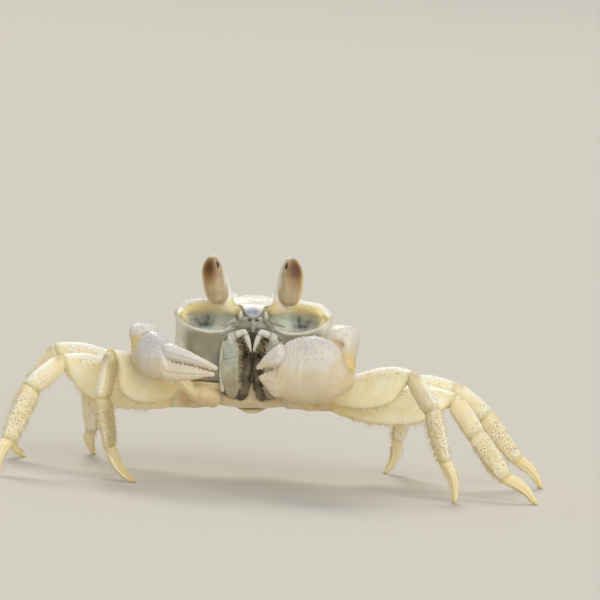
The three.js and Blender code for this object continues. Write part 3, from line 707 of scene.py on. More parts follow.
def markCarapace(points, normals):
    x, y, z = points.T
    ax = np.abs(x)
    cloud, blotch, fine = drift(points, 2.0, 21), drift(points, 1.1, 23), drift(points, 0.5, 25)
    rim = outlineField(ax, z, carapace["orbit"]) + 0.08 * blotch
    ahead, forward = ease(-5.3, -6.1, y), ease(-1.5, -7.0, y)
    hollow = ease(0.2, -0.2, rim) * ahead
    topSide = ease(0.3, 0.9, normals[:, 2])
    body = ease(-2, 2, z) * (1 - hollow)
    hind = ease(-6.5, -1.5, y) * body
    # outerUp: the upper outer orbital margin, where painted back light glows through the thin shell.
    outerUp = ease(4.9, 6.3, z + 0.3 * (ax - 6))
    streaks = 0.82 + 0.18 * np.sin(13 * np.arctan2(z - 3.4, ax - 5.9) + 2 * blotch)
    patch = (np.abs(ax - 6.45) / 1.95) ** 2.4 + (np.abs(z - 5.2) / 0.98) ** 2.4
    slits = bell(ax, 5.62, 0.16) * bell(z, 5.65, 0.45) + 0.7 * bell(ax, 5.9, 0.8) * bell(z, 4.86, 0.24)
    nose = ease(1.75, 1.1, ax) * ease(5.85, 6.1, z) * ease(-6.9, -7.8, y)
    # Painted shade in recesses: pits is the inside of the small feelers' pits and underLedge the hollow under
    # the epistome ledge, both darkened with dusk.
    pits = ellipsoid((ax, y, z), (0.48, -8.9, 5.68), (0.25, 0.75, 0.15))
    underLedge = ease(-8.9, -8.0, y) * ease(-6.4, -7.2, y) * ease(3.9, 3.2, ax)
    underLedge = underLedge * ease(4.9, 4.35, z) * ease(3.3, 3.9, z)
    # Painted shade: between darkens the hollow under the tongue, and cheeks darkens the front face under the
    # orbits, which lies in shade, fading towards the outer sides.
    between = ease(2.5, 1.9, ax) * ease(6.5, 5.6, z) * ease(4.2, 4.5, z) * ahead
    cheeks = ease(-5.0, -7.2, y) * ease(4.5, 3.7, z) * ease(9.3, 7.6, ax)
    lines = sum(groove(ax, y, line, 0.5) for line in carapace["grooves"]) * ease(-4.0, -1.5, y)
    return {
        "sand": (0.9 * ease(0.05, 0.6, cloud + 0.4 * blotch) + 0.35 * ease(0.2, 0.7, fine)) * hind
        + 0.25 * lines * topSide,
        # cheek: painted shade on the face, under the tongue and low in each orbit's outer part, plus the
        # back's own darker blotches.
        "cheek": cheeks * (0.8 + 0.2 * blotch) + 0.6 * between + 0.45 * ease(0.2, 0.7, blotch - cloud) * hind
        + 0.55 * hollow * ease(5.9, 5.4, z) * ease(5.2, 6.6, ax),
        "mint": hollow * ease(5.4, 4.2, ax)
        + 0.5 * ease(7.2, 7.5, z) * ease(4.0, 1.6, ax) * ease(-3.0, -6.5, y),
        # tan and warm: painted glow of back light through the thin roof and outer wall of each orbit and
        # along its upper margin, and painted light on the front of the outer side wall (forward), which the
        # lamps light less.
        "tan": 0.95 * hollow * ease(5.6, 6.5, z) * ease(4.6, 5.8, ax),
        "warm": (0.85 * bell(rim, -0.1, 0.55) * outerUp + 0.6 * hollow * ease(7.7, 8.8, ax)) * ahead
        + 0.35 * ease(8.2, 9.4, ax) * ease(1.0, 5.5, z) * forward
        + 0.5 * bell(ax, 2.0, 0.5) * bell(z, 6.7, 0.4) * ahead,
        "cream": ease(2.5, -2.0, z + 0.5 * cloud) * ease(-7.0, -2.5, y) * 0.9,
        # pale: painted top and rim light on every upward face, across the middle of the back, along the brow
        # over each orbit, on the tongue's top and on the front of the outer side wall; the last term is the
        # lower orbital margin's own pale line.
        "pale": 0.65 * topSide * (1 - 0.7 * ease(0.0, 0.7, cloud))
        + 0.95 * ease(0.05, 0.35, rim) * ease(6.3, 6.9, z) * ease(-3.5, -6.8, y) * ease(1.8, 4.2, ax)
        + 0.5 * topSide * bell(y, -2.2, 2.4) * ease(5.5, 1.5, ax)
        + 0.8 * nose * (1 - hollow) * (0.35 + 0.65 * bell(z, 7.25, 0.25))
        + 0.7 * ease(7.9, 9.2, ax) * forward * (1 - hollow) * ease(-1.5, 2, z)
        + 0.3 * topSide * bell(y, -0.5, 1.8) + bell(rim, 0.04, 0.14) * ease(6.0, 5.0, z) * ahead,
        # dusk: the orbit's own dark patch and slits, plus painted shade in the feeler pits, under the
        # epistome ledge and under the tongue.
        "dusk": 0.75 * (np.exp(-patch ** 1.3) * streaks + slits) * hollow
        + 0.95 * ease(0.08, -0.05, pits) + 0.75 * underLedge + 0.2 * between,
        "blue": nose * bell(z, 6.68, 0.5) * bell(ax, 0.1, 0.9) * (1.0 + 0.3 * blotch)
        + 0.45 * cheeks * ease(0.15, 0.6, blotch) * ease(6.0, 3.5, ax),
        "speck": 0.85 * topSide * ease(-0.3, 0.5, cloud) * ease(-5.0, -2.0, y)
        + 0.3 * nose * ease(7.4, 7.0, z) + 0.45 * ease(-7.0, 2.0, y) * body,
    }


points, faces, normals = buildCarapace()
addTrunkPiece("carapace_shell", points, faces, markCarapace(points, normals), "carapace shell", "carapace",
              "carapace")
print("carapace", len(points))


# Breastplate: the underside with its segment lines, and the first short segments of the limbs

# Legs and claws start at roots inside the trunk. A segment is its start and end, as shares of the
# way from the root to the hip, and the radius at both.
breast = {
    "step": 0.15, "root": 5.0, "rootLift": 0.4, "crowding": 0.8, "clawRoot": (4.9, -6.6, -4.2),
    "clawHips": {"left": (7.0, -8.6, -3.6), "right": (-7.2, -8.6, -3.6)},
    "coxa": (0, 0.5, 1.2, 1.22), "ischium": (0.66, 1, 1.12, 0.95),
    "clawCoxa": (0, 0.55, 1.3, 1.15), "clawIschium": (0.6, 0.92, 1.05, 0.85),
}


def rootSegment(grid, root, hip, segment):
    start, end, radiusA, radiusB = breast[segment]
    return roundCone(grid, mix(root, hip, start), mix(root, hip, end), radiusA, radiusB)


def buildBreast():
    step, seam = breast["step"], carapace["seam"]
    low = (-11.2, -10.4, -7.6)
    grid = fieldGrid(low, (11.2, 9.0, seam + 0.5), step)
    x, y, z = grid
    mirrored = (np.abs(x), y, z)
    walls = evened(sideWalls(grid), step) + 0.12
    floor = -5.95 + 0.012 * (x ** 2 + 0.6 * y ** 2)
    body = without(common(walls, floor - z, 1.2), mouthField(*mirrored), 0.2)
    # Lines between the breastplate's segments run out between the legs.
    for place in (-5.0, -2.9, -0.55, 1.95):
        line = ((1.4, place * 0.8), (4.0, place), (6.5, place * 1.1))
        body = body + 0.28 * ease(-4.4, -5.2, z) * groove(*mirrored[:2], line, 0.28)
    # The belly's groove, where the abdomen lies.
    body = without(body, ellipsoid(grid, (0, 2.5, -6.5), (2.2, 7.0, 0.7)), 0.3)
    for leg in legs.values():
        hipX, hipY, hipZ = leg["hip"]
        root = np.array([breast["root"], hipY * breast["crowding"], hipZ + breast["rootLift"]])
        hip = np.array([hipX - 1.5 * gap, hipY, hipZ])
        body = union(body, rootSegment(mirrored, root, hip, "coxa"), 0.25)
        body = union(body, rootSegment(mirrored, root, hip, "ischium"), 0.06)
    for sideName, side in sides.items():
        root, hip = np.array(breast["clawRoot"]) * (side, 1, 1), np.array(breast["clawHips"][sideName])
        body = union(body, rootSegment(grid, root, hip, "clawCoxa"), 0.25)
        body = union(body, rootSegment(grid, root, hip, "clawIschium"), 0.12)
    points, faces, normals = netOver(common(body, z - (seam - 0.12), 0.15), low, step)
    lift = 0.05 * granules(points, 0.45, 13) + 0.05 * drift(points, 1.2, 15)
    return points + normals * lift[:, None], faces, normals


points, faces, normals = buildBreast()
breastSkin = (points, normals)     # kept for the bristles
x, y, z = points.T
ax = np.abs(x)
warm = clamped(0.25 + 0.25 * ease(6.0, 8.0, ax) + 0.25 * drift(points, 1.5, 33))
marks = {"warm": warm * ease(9.8, 8.8, ax) * mix(0.35, 1.0, ease(1.0, -5.0, y)),
         "pale": 0.4 * ease(5, 2, ax) * ease(-4.5, -5.5, z) + 0.5 * ease(8.6, 9.6, ax),
         "dusk": 0.25 * ease(-0.2, 0.6, drift(points, 0.9, 35)), "speck": 0.4 * ease(-5, -3, z)}
addTrunkPiece("breastplate", points, faces, marks, "underside shell", "underside", "sternum")
print("breastplate", len(points))


# Abdomen: the narrow tail folded forwards under the body, seven overlapping plates

abdomen = {
    "stations": ((8.6, 3.5, 0.75), (8.35, 3.7, -2.4), (6.5, 2.9, -5.5), (4, 2.5, -6.2), (0, 1.6, -6.3),
                 (-3.4, 0.8, -6.25)),      # y, half width and z, from its root to its tip
    "halfThickness": 0.26, "joints": (0.12, 0.24, 0.36, 0.49, 0.63, 0.82), "blunt": 0.03, "rows": 230,
}


def buildAbdomen():
    t = domedRows(abdomen["rows"], abdomen["blunt"])
    size = domed(t, abdomen["blunt"])
    y, half, z = evenRows(abdomen["stations"], t)
    path = np.stack([0 * y, y, z], -1)
    along = unit(np.gradient(path, axis=0))
    across = np.array([1.0, 0, 0])
    up = np.cross(across, along)
    # Each plate swells towards its back edge and steps down over the next.
    plate = np.searchsorted(abdomen["joints"], t)
    starts = np.array((0,) + abdomen["joints"] + (1,))
    inPlate = (t - starts[plate]) / (starts[plate + 1] - starts[plate])
    thick = abdomen["halfThickness"] * (0.85 + 0.28 * inPlate - 0.35 * bell(inPlate, 0, 0.07)) * np.sqrt(size)
    rings, angle = ovalRings(path, across, up, half * size * (0.97 + 0.03 * inPlate), thick, thick, 110, 2.4)
    # The plates are arched from side to side, so their edges lie close against the body.
    arch = 0.1 * rings[..., :1] ** 2 * ease(0.62, 0.36, t)[:, None, None]
    rings = rings - up[:, None] * arch * np.sign(up[:1, 1:2])
    rings = raised(rings, 0.02 * granules(rings, 0.45, 41))
    seamMark = spread(bell(inPlate, 0, 0.08), angle)
    marks = {"warm": 0.25 + 0.3 * seamMark, "grey": 0.85 * ease(0.3, 0.08, spread(t, angle)),
             "pale": 0.4 * (1 - np.abs(np.cos(angle)) ** 6), "dusk": 0.4 * seamMark, "speck": 0.2}
    return closedSkin(rings, marks)


addTrunkPiece("abdomen_plates", *buildAbdomen(), "underside shell", "underside", "abdomen")
print("abdomen made")


# Eyes: a long bean-shaped cornea over the front of each stalk

eyes = {
    "sway": -0.32,                 # how far both tips lean to the crab's right
    "low": (4.25, -9.35, 7.6), "top": (4.85, -8.7, 13.65), "halfWidth": 1.53, "halfDepth": 1.4,
    "sizes": ((0, 0.0), (0.01, 0.3), (0.04, 0.58), (0.1, 0.8), (0.2, 0.92), (0.42, 1.0), (0.62, 1.0),
              (0.78, 0.88), (0.9, 0.64), (0.96, 0.42), (0.99, 0.2), (1, 0.0)),
    # stations of x, y, z and radius
    "foot": ((1.9, -8.5, 6.75, 0.36), (2.6, -8.7, 7.05, 0.66), (3.4, -8.6, 7.2, 0.62),
             (4.3, -8.2, 7.2, 0.26)),
    "stalk": ((2.3, -8.6, 6.9, 0.5), (3.0, -8.85, 7.5, 0.8), (3.75, -8.35, 8.9, 1.14),
              (4.1, -8.1, 10.4, 1.16), (4.4, -8.0, 11.9, 0.98), (4.64, -8.15, 12.9, 0.6),
              (4.72, -8.35, 13.3, 0.2)),
}


def buildCornea(side):
    low, top = [np.array(eyes[end]) * (side, 1, 1) for end in ("low", "top")]
    t = 0.5 - 0.5 * np.cos(np.linspace(0.04, math.pi - 0.04, 90))
    size = columns(eyes["sizes"], t)[0]
    axis = unit(top - low)
    outward = side * unit(np.cross(axis, front))
    forward = side * unit(np.cross(outward, axis))
    centres = mix(low, top, t[:, None]) + outward * (0.16 * np.sin(math.pi * t))[:, None]
    half, deep = size * eyes["halfWidth"], size * eyes["halfDepth"]
    rings, angle = ovalRings(centres, outward, forward, half, deep, deep * 0.92, 84, 2.0)
    t, out, ahead = spread(t, angle), np.cos(angle), np.sin(angle)
    patch = ((out - 0.32) / 0.56) ** 2 + ((t - 0.75) / 0.18) ** 2
    halo = ((out - 0.42) / 0.72) ** 2 + ((t - 0.68) / 0.32) ** 2
    return closedSkin(rings, {
        "rust": 0.85 * np.exp(-halo ** 1.4) * ease(-0.6, 0.0, ahead),
        # warm is a painted golden rim light along the outer edge, and the first pale term a painted sheen at
        # the top.
        "warm": 0.75 * ease(0.72, 0.97, out) * ease(0.98, 0.75, t),
        "pale": 0.4 * ease(0.93, 0.99, t) + 0.8 * ease(-0.62, -0.92, out) * ease(0.2, 0.45, t)
        + 0.55 * ease(-0.2, -0.8, ahead),
        "dusk": 0.95 * np.exp(-patch ** 1.4) * ease(-0.5, 0.1, ahead),
        "slit": ease(1.0, 0.6, ((out + 0.44) / 0.12) ** 2 + ((t - 0.8) / 0.085) ** 2) * ease(0, 0.3, ahead),
    })


def buildStalk(side):              # the long stalk and the flared segment at its foot, in one skin
    step, low = 0.11, np.array([min(1.2 * side, 6.4 * side), -9.8, 6.0])
    grid = fieldGrid(low, low + (5.2, 3.1, 8.1), step)
    body = union(chained(grid, eyes["stalk"], side), chained(grid, eyes["foot"], side), 0.35)
    # A crease rings the stalk where it leaves its foot.
    slant = grid[2] + 0.5 * (np.abs(grid[0]) - 3.0) - 7.75
    points, faces, normals = netOver(body + 0.07 * bell(slant, 0, 0.12), low, step)
    lift = 0.02 * granules(points, 0.4, 51) + 0.03 * drift(points, 0.8, 52)
    ax, height = np.abs(points[:, 0]), points[:, 2]
    marks = {"warm": 0.3 * ease(8.8, 7.4, height),
             "pale": 0.85 * ease(7.6, 9.0, height) + 0.3 * ease(2.6, 3.6, ax),
             "dusk": 0.5 * bell(ax, 1.9, 0.4) * ease(7.4, 6.9, height), "speck": 0.4 * ease(9.5, 8, height)}
    return points + normals * lift[:, None], faces, marks


def swayed(points):
    return points + eyes["sway"] * ease(7.2, 14.0, points[:, 2:]) * (1, 0, 0)


for sideName, side in sides.items():
    points, faces, marks = buildCornea(side)
    addTrunkPiece(f"eye_{sideName}", swayed(points), faces, marks, "cornea", "cornea", f"cornea_{sideName}")
    points, faces, marks = buildStalk(side)
    addTrunkPiece(f"stalk_{sideName}", swayed(points), faces, marks, "eyestalk shell", "eyestalk",
                  f"eyestalk_{sideName}")
print("eyes made")


# Feelers and mouthparts. Each limb: stations of x, y, z and radius, places of its joints, rows and columns

mouthLimbs = {
    "antenna": {"stations": ((2.3, -8.75, 5.7, 0.42), (2.75, -9.1, 5.5, 0.32), (3.15, -9.4, 5.3, 0.22),
                             (3.6, -9.7, 5.15, 0.13), (4.1, -10.0, 5.1, 0.06)),
                "joints": (0.22, 0.42, 0.55, 0.66, 0.76, 0.85, 0.93), "rows": 110, "cols": 32},
    "palp": {"stations": ((2.75, -9.0, 2.7, 0.42), (2.55, -9.35, 3.6, 0.55), (1.85, -9.75, 4.05, 0.46),
                          (1.1, -10.0, 4.3, 0.38), (0.75, -10.1, 3.8, 0.34), (0.42, -10.15, 2.9, 0.26),
                          (0.14, -10.15, 1.9, 0.08)),
             "joints": (0.2, 0.55), "rows": 110, "cols": 40},
    "exopod": {"stations": ((3.55, -8.1, -3.4, 0.3), (3.75, -8.3, -0.5, 0.34), (3.75, -8.5, 1.6, 0.26),
                            (3.5, -8.65, 3.1, 0.14)),
               "joints": (), "rows": 70, "cols": 32},
}
mouthPlate = {
    "low": (1.55, -8.15, -4.0), "top": (1.75, -8.85, 3.45), "half": 1.02, "thickness": 0.42,
    "outline": ((0, 0.5), (0.1, 0.78), (0.35, 1.0), (0.6, 1.04), (0.655, 0.92), (0.8, 0.95), (0.92, 0.8),
                (1, 0.45)),
}
# Behind the plates: the jaws and the inner mouthparts, seen in the gap between them.
innerMouth = {
    "step": 0.14,
    "jaw": ((2.6, -6.5, 3.0, 0.7), (1.5, -7.1, 2.6, 0.95), (0.55, -7.5, 2.3, 0.8), (0.12, -7.6, 2.2, 0.3)),
    "second": ((2.3, -6.9, -3.6, 0.7), (1.9, -7.4, -0.6, 0.8), (1.5, -7.8, 1.8, 0.6), (1.0, -8.1, 2.6, 0.42),
               (0.6, -8.15, 1.7, 0.2)),
    "first": ((1.3, -6.8, -3.8, 0.8), (0.85, -7.1, -1.4, 0.85), (0.6, -7.4, 0.4, 0.6), (0.4, -7.5, 1.3, 0.2)),
}


def sweptLimb(name, side):
    limb, blunt = mouthLimbs[name], 0.04
    t = domedRows(limb["rows"], blunt)
    path, radius = limbPath(limb["stations"], t, side)
    radius = radius * domed(t, blunt)
    for joint in limb["joints"]:   # each joint is a nick with a lip before it
        radius = radius * (1 - 0.16 * bell(t, joint, 0.012) + 0.08 * bell(t, joint - 0.03, 0.016))
    rings, angle = ovalRings(path, *sweptFrames(path), radius, radius, radius, limb["cols"], 2.1)
    return raised(rings, 0.015 * granules(rings, 0.35, 60)), spread(t, angle)


def buildPlate(side):              # third maxilliped: a long ischium plate with a squarer merus above it
    low, top = [np.array(mouthPlate[end]) * (side, 1, 1) for end in ("low", "top")]
    blunt = 0.05
    t = domedRows(120, blunt)
    half = mouthPlate["half"] * columns(mouthPlate["outline"], t)[0]
    # The inner edge is straight, the outer edge bows, and the whole plate is a little arched.
    path = mix(low, top, t[:, None]) + half[:, None] * (side, 0, 0)
    path = path + front * (0.25 * np.sin(math.pi * t))[:, None]
    across, up = sweptFrames(path)
    up = np.where(up[:, 1:2] < 0, up, -up)
    thick = mouthPlate["thickness"] * domed(t, blunt)
    rings, angle = ovalRings(path, across, up, half * domed(t, blunt), thick, thick * 0.7, 72, 2.3)
    t = spread(t, angle)
    inner = across[0, 0] * side * np.cos(angle)
    facing = ease(0.2, 0.8, np.sin(angle))
    furrow = 0.06 * bell(inner, -0.35, 0.22) * ease(0.1, 0.25, t) * ease(0.62, 0.45, t) * facing
    joint = 0.09 * bell(t + 0.05 * inner + 0.03 * inner ** 2, 0.66, 0.014)
    rings = raised(rings, 0.02 * granules(rings, 0.4, 71) + 0.07 * drift(rings, 0.9, 72) - furrow - joint)
    marks = {"warm": 0.45 * ease(0.62, 0.3, t), "teal": 0.8 * ease(0.55, 0.75, t),
             "pale": 0.45 * np.abs(np.cos(angle)) ** 4 + 0.3 * ease(0.8, 1, t),
             # dusk: painted shade in the furrow and across the joint crease, and darker towards the lower
             # end.
             "dusk": np.minimum(2 * (furrow + joint), 0.3) + 0.35 * ease(0.55, 0.2, t), "speck": 0.5 * facing}
    return rings, t, marks


def buildInnerMouth():
    low, step = (-4.2, -9.2, -5.2), innerMouth["step"]
    x, y, z = fieldGrid(low, (4.2, -5.2, 4.5), step)
    mirrored = (np.abs(x), y, z)
    jaw, second, first = [chained(mirrored, innerMouth[name], links=8) for name in ("jaw", "second", "first")]
    body = union(union(jaw, second, 0.25), first, 0.25)
    # A cleft down the middle, and folds across the soft parts.
    body = body + 0.25 * bell(x, 0, 0.16) + 0.05 * ripple(z + 0.6 * mirrored[0], 0.7)
    points, faces, normals = netOver(body, low, step)
    lift = 0.12 * drift(points, 0.6, 81) + 0.05 * drift(points, 0.25, 82)
    # Painted shade: the inner parts are laid almost wholly with dark brown dusk, for the shade in the gap
    # between the plates.
    marks = {"warm": 0.5 + 0.3 * drift(points, 0.7, 83), "dusk": 0.82 + 0.3 * drift(points, 0.8, 84)}
    return points + normals * lift[:, None], faces, marks


def addMouthPiece(name, skin, *nodes):
    addTrunkPiece(name, *skin, "mouthpart shell", "mouthparts", *nodes)


mouthSkins = {}                    # the plates' and palps' skins, kept for the bristles
for sideName, side in sides.items():
    rings, t = sweptLimb("antenna", side)
    marks = {"teal": 0.5, "dusk": 0.15 + 0.25 * ease(0.4, 0.9, t), "speck": 0.3}
    addMouthPiece(f"feeler_{sideName}", closedSkin(rings, marks), f"antenna_{sideName}")
    outer, t = sweptLimb("exopod", side)
    plate, t, marks = buildPlate(side)
    mouthSkins[sideName, "plate"] = (plate, t)
    both = joined([closedSkin(plate, marks), closedSkin(outer, {"warm": 0.3, "pale": 0.4, "speck": 0.3})])
    addMouthPiece(f"mouthplate_{sideName}", both, f"maxilliped_{sideName}")
    rings, t = sweptLimb("palp", side)
    mouthSkins[sideName, "palp"] = (rings, t)
    marks = {"warm": 0.15, "pale": 0.75 - 0.2 * t, "speck": 0.3,
             "dusk": 0.5 * bell(t, 0.3, 0.03) + 0.5 * bell(t, 0.62, 0.03)}
    addMouthPiece(f"mouthfeeler_{sideName}", closedSkin(rings, marks), f"palp_{sideName}")
addMouthPiece("inner_mouth", buildInnerMouth())
print("mouthparts made")


# Walking legs. Each outline: place along it, reach to the outer and inner edge, half thickness

# Each kind's olive is its share of the painted shade that markSegment lays on the lower side.
legShapes = {
    "merus": {"outline": ((0, 0.95, 1.0, 0.75), (0.13, 1.4, 1.65, 0.86), (0.35, 1.86, 2.4, 0.92),
                          (0.6, 2.08, 2.65, 0.9), (0.8, 1.78, 2.25, 0.84), (0.91, 1.3, 1.6, 0.8),
                          (1, 0.76, 1.06, 0.77)),
              "rows": 110, "cols": 88, "roundness": 2.15, "olive": 0.0},
    "carpus": {"outline": ((0, 0.76, 0.96, 0.74), (0.2, 1.08, 1.0, 0.78), (0.7, 1.12, 1.06, 0.78),
                           (1, 1.0, 1.04, 0.75)),
               "rows": 46, "cols": 64, "roundness": 2.25, "olive": 1.0},
    "propodus": {"outline": ((0, 0.98, 1.0, 0.72), (0.15, 1.06, 1.08, 0.74), (0.5, 1.02, 1.06, 0.73),
                             (0.9, 0.82, 0.82, 0.63), (1, 0.76, 0.76, 0.6)),
                 "rows": 56, "cols": 64, "roundness": 2.25, "olive": 1.0},
    "dactyl": {"outline": ((0, 0.84, 0.84, 0.64), (0.15, 0.8, 0.79, 0.61), (0.45, 0.62, 0.6, 0.5),
                           (0.75, 0.43, 0.42, 0.38), (0.93, 0.32, 0.32, 0.31), (1, 0.28, 0.28, 0.28)),
               "rows": 60, "cols": 48, "roundness": 2.15, "olive": 0.6},
}
knuckle = 0.4                      # how far a segment's root reaches back into the cup before it
lap = 0.24                         # how far each cup laps over the root after it
shades = {(1, "right"): 0.75, (1, "left"): 0.3}   # how much painted shade (olive) the wrist and hand of the first legs carry of all other legs, and how much painted back light pales the hind legs and thins their dots
otherShade, hindBacklitPale = 0.12, 0.5  # of all other legs, and how bleached the hind legs are


def segmentRows(length, count, isFoot):   # place along the segment and share of its full section
    curve = np.linspace(0.15, math.pi / 2, 7)
    root = -knuckle + 0.28 * (1 - np.cos(curve))
    rootShare = 0.93 * np.sin(curve)
    body = np.linspace(root[-1] + 0.05, length + (0 if isFoot else lap), count)
    bodyShare = mix(0.93, 1.0, ease(-0.05, 0.6, body))
    if isFoot:
        return np.append(root, body), np.append(rootShare, bodyShare)
    bodyShare = bodyShare + 0.015 * bell(body, length, 0.14)
    cup = np.array([(0.04, 0.99), (0.04, 0.94), (-0.04, 0.9), (-0.2, 0.86), (-0.42, 0.8), (-0.5, 0.5),
                    (-0.52, 0.1)])
    return (np.concatenate([root, body, length + lap + cup[:, 0]]),
            np.concatenate([rootShare, bodyShare, cup[:, 1]]))


def legSegment(kind, joints, ways, i, normal, depth, bow, salt):
    shape, isFoot = legShapes[kind], kind == "dactyl"
    along = ways[i]
    startAlong = unit(along + ways[max(i - 1, 0)])
    endAlong = -skyward if isFoot else unit(along + ways[i + 1])
    start = joints[i] + along * (gap / 2 / np.dot(along, startAlong))
    end = joints[i + 1] if isFoot else joints[i + 1] - along * (gap / 2 / np.dot(along, endAlong))
    length = np.linalg.norm(end - start)
    place, share = segmentRows(length, shape["rows"], isFoot)
    t = place / length
    inside = clamped(t)
    turn = np.abs(2 * inside - 1)[:, None] ** 3
    tangent = unit(mix(along, np.where(inside[:, None] < 0.5, startAlong, endAlong), turn))
    up = unit(np.cross(tangent, normal))
    centres = mix(start, end, t[:, None]) + up * (bow * np.sin(math.pi * inside))[:, None]
    outer, inner, half = [column * share * depth for column in columns(shape["outline"], inside)]
    rings, angle = ovalRings(centres, np.cross(up, tangent), up, half, outer, inner, shape["cols"],
                             shape["roundness"])
    s, t, high = spread(place, angle), spread(t, angle), np.sin(angle)
    shown = ease(0.0, 0.5, s) * ease(length + 0.1, length - 0.25, s)
    lift = 0.03 * drift(rings, 1.4, salt) + 0.02 * granules(rings, 0.33, salt + 2)
    # Short cross ridges roughen the upper half; they thin out below.
    arc = angle * (outer.max() + inner.max()) / 2
    ridges = granules(np.stack([s / 0.26, arc / 0.62, 0 * s], -1), 1.0, salt + 1, 0.55)
    lift = lift + 0.045 * ridges * ease(-0.5, 0.5, high)
    if kind == "merus":            # toothed edges and a hollow face
        teeth = np.sin(math.pi * s / 0.62) ** 2
        lift = lift + 0.07 * teeth * (bell(high, -0.93, 0.1) + 0.5 * bell(high, 0.97, 0.08))
        lift = lift - 0.1 * bell(high, -0.1, 0.35) * ease(0.1, 0.4, t) * ease(0.95, 0.6, t)
    elif isFoot:                   # ribs
        lift = lift + 0.06 * np.cos(6 * angle) * ease(0.08, 0.3, t) * ease(1, 0.7, t)
    else:                          # keels with a furrow under the upper one
        lift = lift + 0.07 * bell(high, 0.8, 0.12) - 0.05 * bell(high, 0.45, 0.2)
        lift = lift + 0.05 * bell(high, -0.85, 0.12)
    # Hinge knobs stand out on both faces at the ends.
    for middle in (0.3, length - 0.25):
        lift = lift + 0.1 * bell(s, middle, 0.25) * bell(high, 0, 0.3)
    rings = raised(rings, lift * shown)
    if isFoot:
        rings[..., 2] = np.maximum(rings[..., 2], 0)
    return rings, high, t, s, length


def markSegment(kind, rings, high, t, s, length, salt, shade, backlitPale):
    cloud = drift(rings, 1.2, salt + 5)
    ends = ease(0.5, 0.0, s) + ease(length - 0.45, length, s)
    # Painted highlight: pale along the upper edge (high) stands for back light catching the top of each
    # segment; the cloudy part is the shell's own pale.
    pale = (0.85 * ease(0.5, 0.9, high) + 0.2 * ease(0.2, 0.8, cloud)) * (1 - 0.6 * ends) + backlitPale
    warm = 0.45 * ends + 0.3 * ease(-0.1, 0.7, cloud)
    if kind == "merus":
        dusk = 0
        speck = 0.75 * bell(high, 0.45, 0.35) * ease(0.3, 0.55, t) * ease(1.0, 0.9, t)
        warm = warm + 0.45 * ease(0.4, 0.0, t)
    elif kind == "carpus":
        dusk = 0.6 * bell(s, 0.65, 0.4) * ease(0.3, 1.0, high) * (0.75 + 0.25 * cloud)
        speck = mix(0.6, 0.8, shade) * ease(0.3, 0.9, t)
        pale = (1 - 0.6 * shade) * pale * ease(0.15, 0.5, t)
    elif kind == "propodus":
        dusk = 0.14 * bell(s, 0.65, 0.5) * ease(0.1, 0.8, high) * (0.6 + 0.4 * ease(-0.4, 0.4, cloud))
        speck = ease(0.05, 0.25, t) * ease(1.05, 0.8, t)
        pale = (0.7 - 0.6 * shade) * pale * ease(0.1, 0.4, t)
    else:
        warm = warm + 0.35 + 0.4 * ease(0.55, 1, t)
        dusk = 0.3 * ease(0.86, 1.0, t)
        pale = 0.4 * pale
        speck = 0.8 * shade * ease(0.6, 0.1, t)
    # Painted shade: olive darkens the lower side, most on the first right leg's wrist and hand, which stand
    # in shade.
    olive = shade * ease(1.5, -0.1, high + 0.35 * cloud) * legShapes[kind]["olive"]
    # backlitPale: painted back light that pales the hind legs and thins their dots.
    return {"warm": warm, "olive": olive, "pale": pale, "dusk": dusk, "speck": speck * (1 - backlitPale)}


membranes = []


def addSleeve(centre, along, across, up, half, outer, inner, reach):   # a short pleated skin over a joint
    t = domedRows(26, 0.2)
    s = (2 * t - 1) * reach
    size = (1 + 0.05 * np.cos(2 * math.pi * s / 0.2)) * domed(t, 0.2)
    half, outer, inner = half * size, outer * size, inner * size
    rings, angle = ovalRings(centre + along * s[:, None], across, up, half, outer, inner, 40, 2.1)
    membranes.append(closedSkin(rings, {}))


legSkins = {}                      # each segment's skin, kept for the bristles
for number, sideName in legRows:
    leg = legs[number]
    joints = legJoints(sideName, leg)
    ways = unit(np.diff(joints, axis=0))
    normal = unit(np.cross(ways[0], ways[2]))
    shade, backlitPale = shades.get((number, sideName), otherShade), hindBacklitPale if number == 4 else 0
    for i, (kind, shape) in enumerate(legShapes.items()):
        bow = (-leg[sideName]["sag"], 0, 0, footBow)[i]
        salt = 100 * number + 10 * i + sides[sideName]
        depth = 1 if kind == "dactyl" else leg["depth"]
        rings, high, t, s, length = legSegment(kind, joints, ways, i, normal, depth, bow, salt)
        marks = markSegment(kind, rings, high, t, s, length, salt, shade, backlitPale)
        node = f"leg{number}_{kind}_{sideName}"
        addPiece(node + "_shell", closedSkin(rings, marks), "leg shell", "legs", node)
        legSkins[number, sideName, kind] = (rings, t)
        along = unit(ways[i] + ways[max(i - 1, 0)])
        up = unit(np.cross(along, normal))
        outer, inner, half = [0.87 * depth * size for size in shape["outline"][0][1:]]
        addSleeve(joints[i], along, np.cross(up, along), up, half, outer, inner, 0.42)
print("legs made")


# Claws. Each is drawn with its wrist at the origin, fingers along +X and its upper edge up

# skySheen: how much painted sky sheen blues a claw's upper side and knob.
claws = {
    "left": {"palm": 8.5, "height": 8.3, "thickness": 4.4, "finger": 2.45, "turn": 0.6, "heel": 0.25,
             "skySheen": 0.05, "wrist": (10.9, -13.3, 15.4), "yaw": 184, "pitch": -1,
             "knuckle": (10, -9.9, 18.5), "knob": (2.2, 1.9, 2.4), "bow": 0.5},
    "right": {"palm": 4.7, "height": 5.9, "thickness": 3.2, "finger": 5.8, "turn": 2.2, "heel": 0,
              "skySheen": 0.4, "wrist": (-15.2, -11.3, 16.1), "yaw": -36, "pitch": 4,
              "knuckle": (-14.5, -9.2, 18.1), "knob": (1.85, 1.5, 1.4), "bow": 1.2},
}
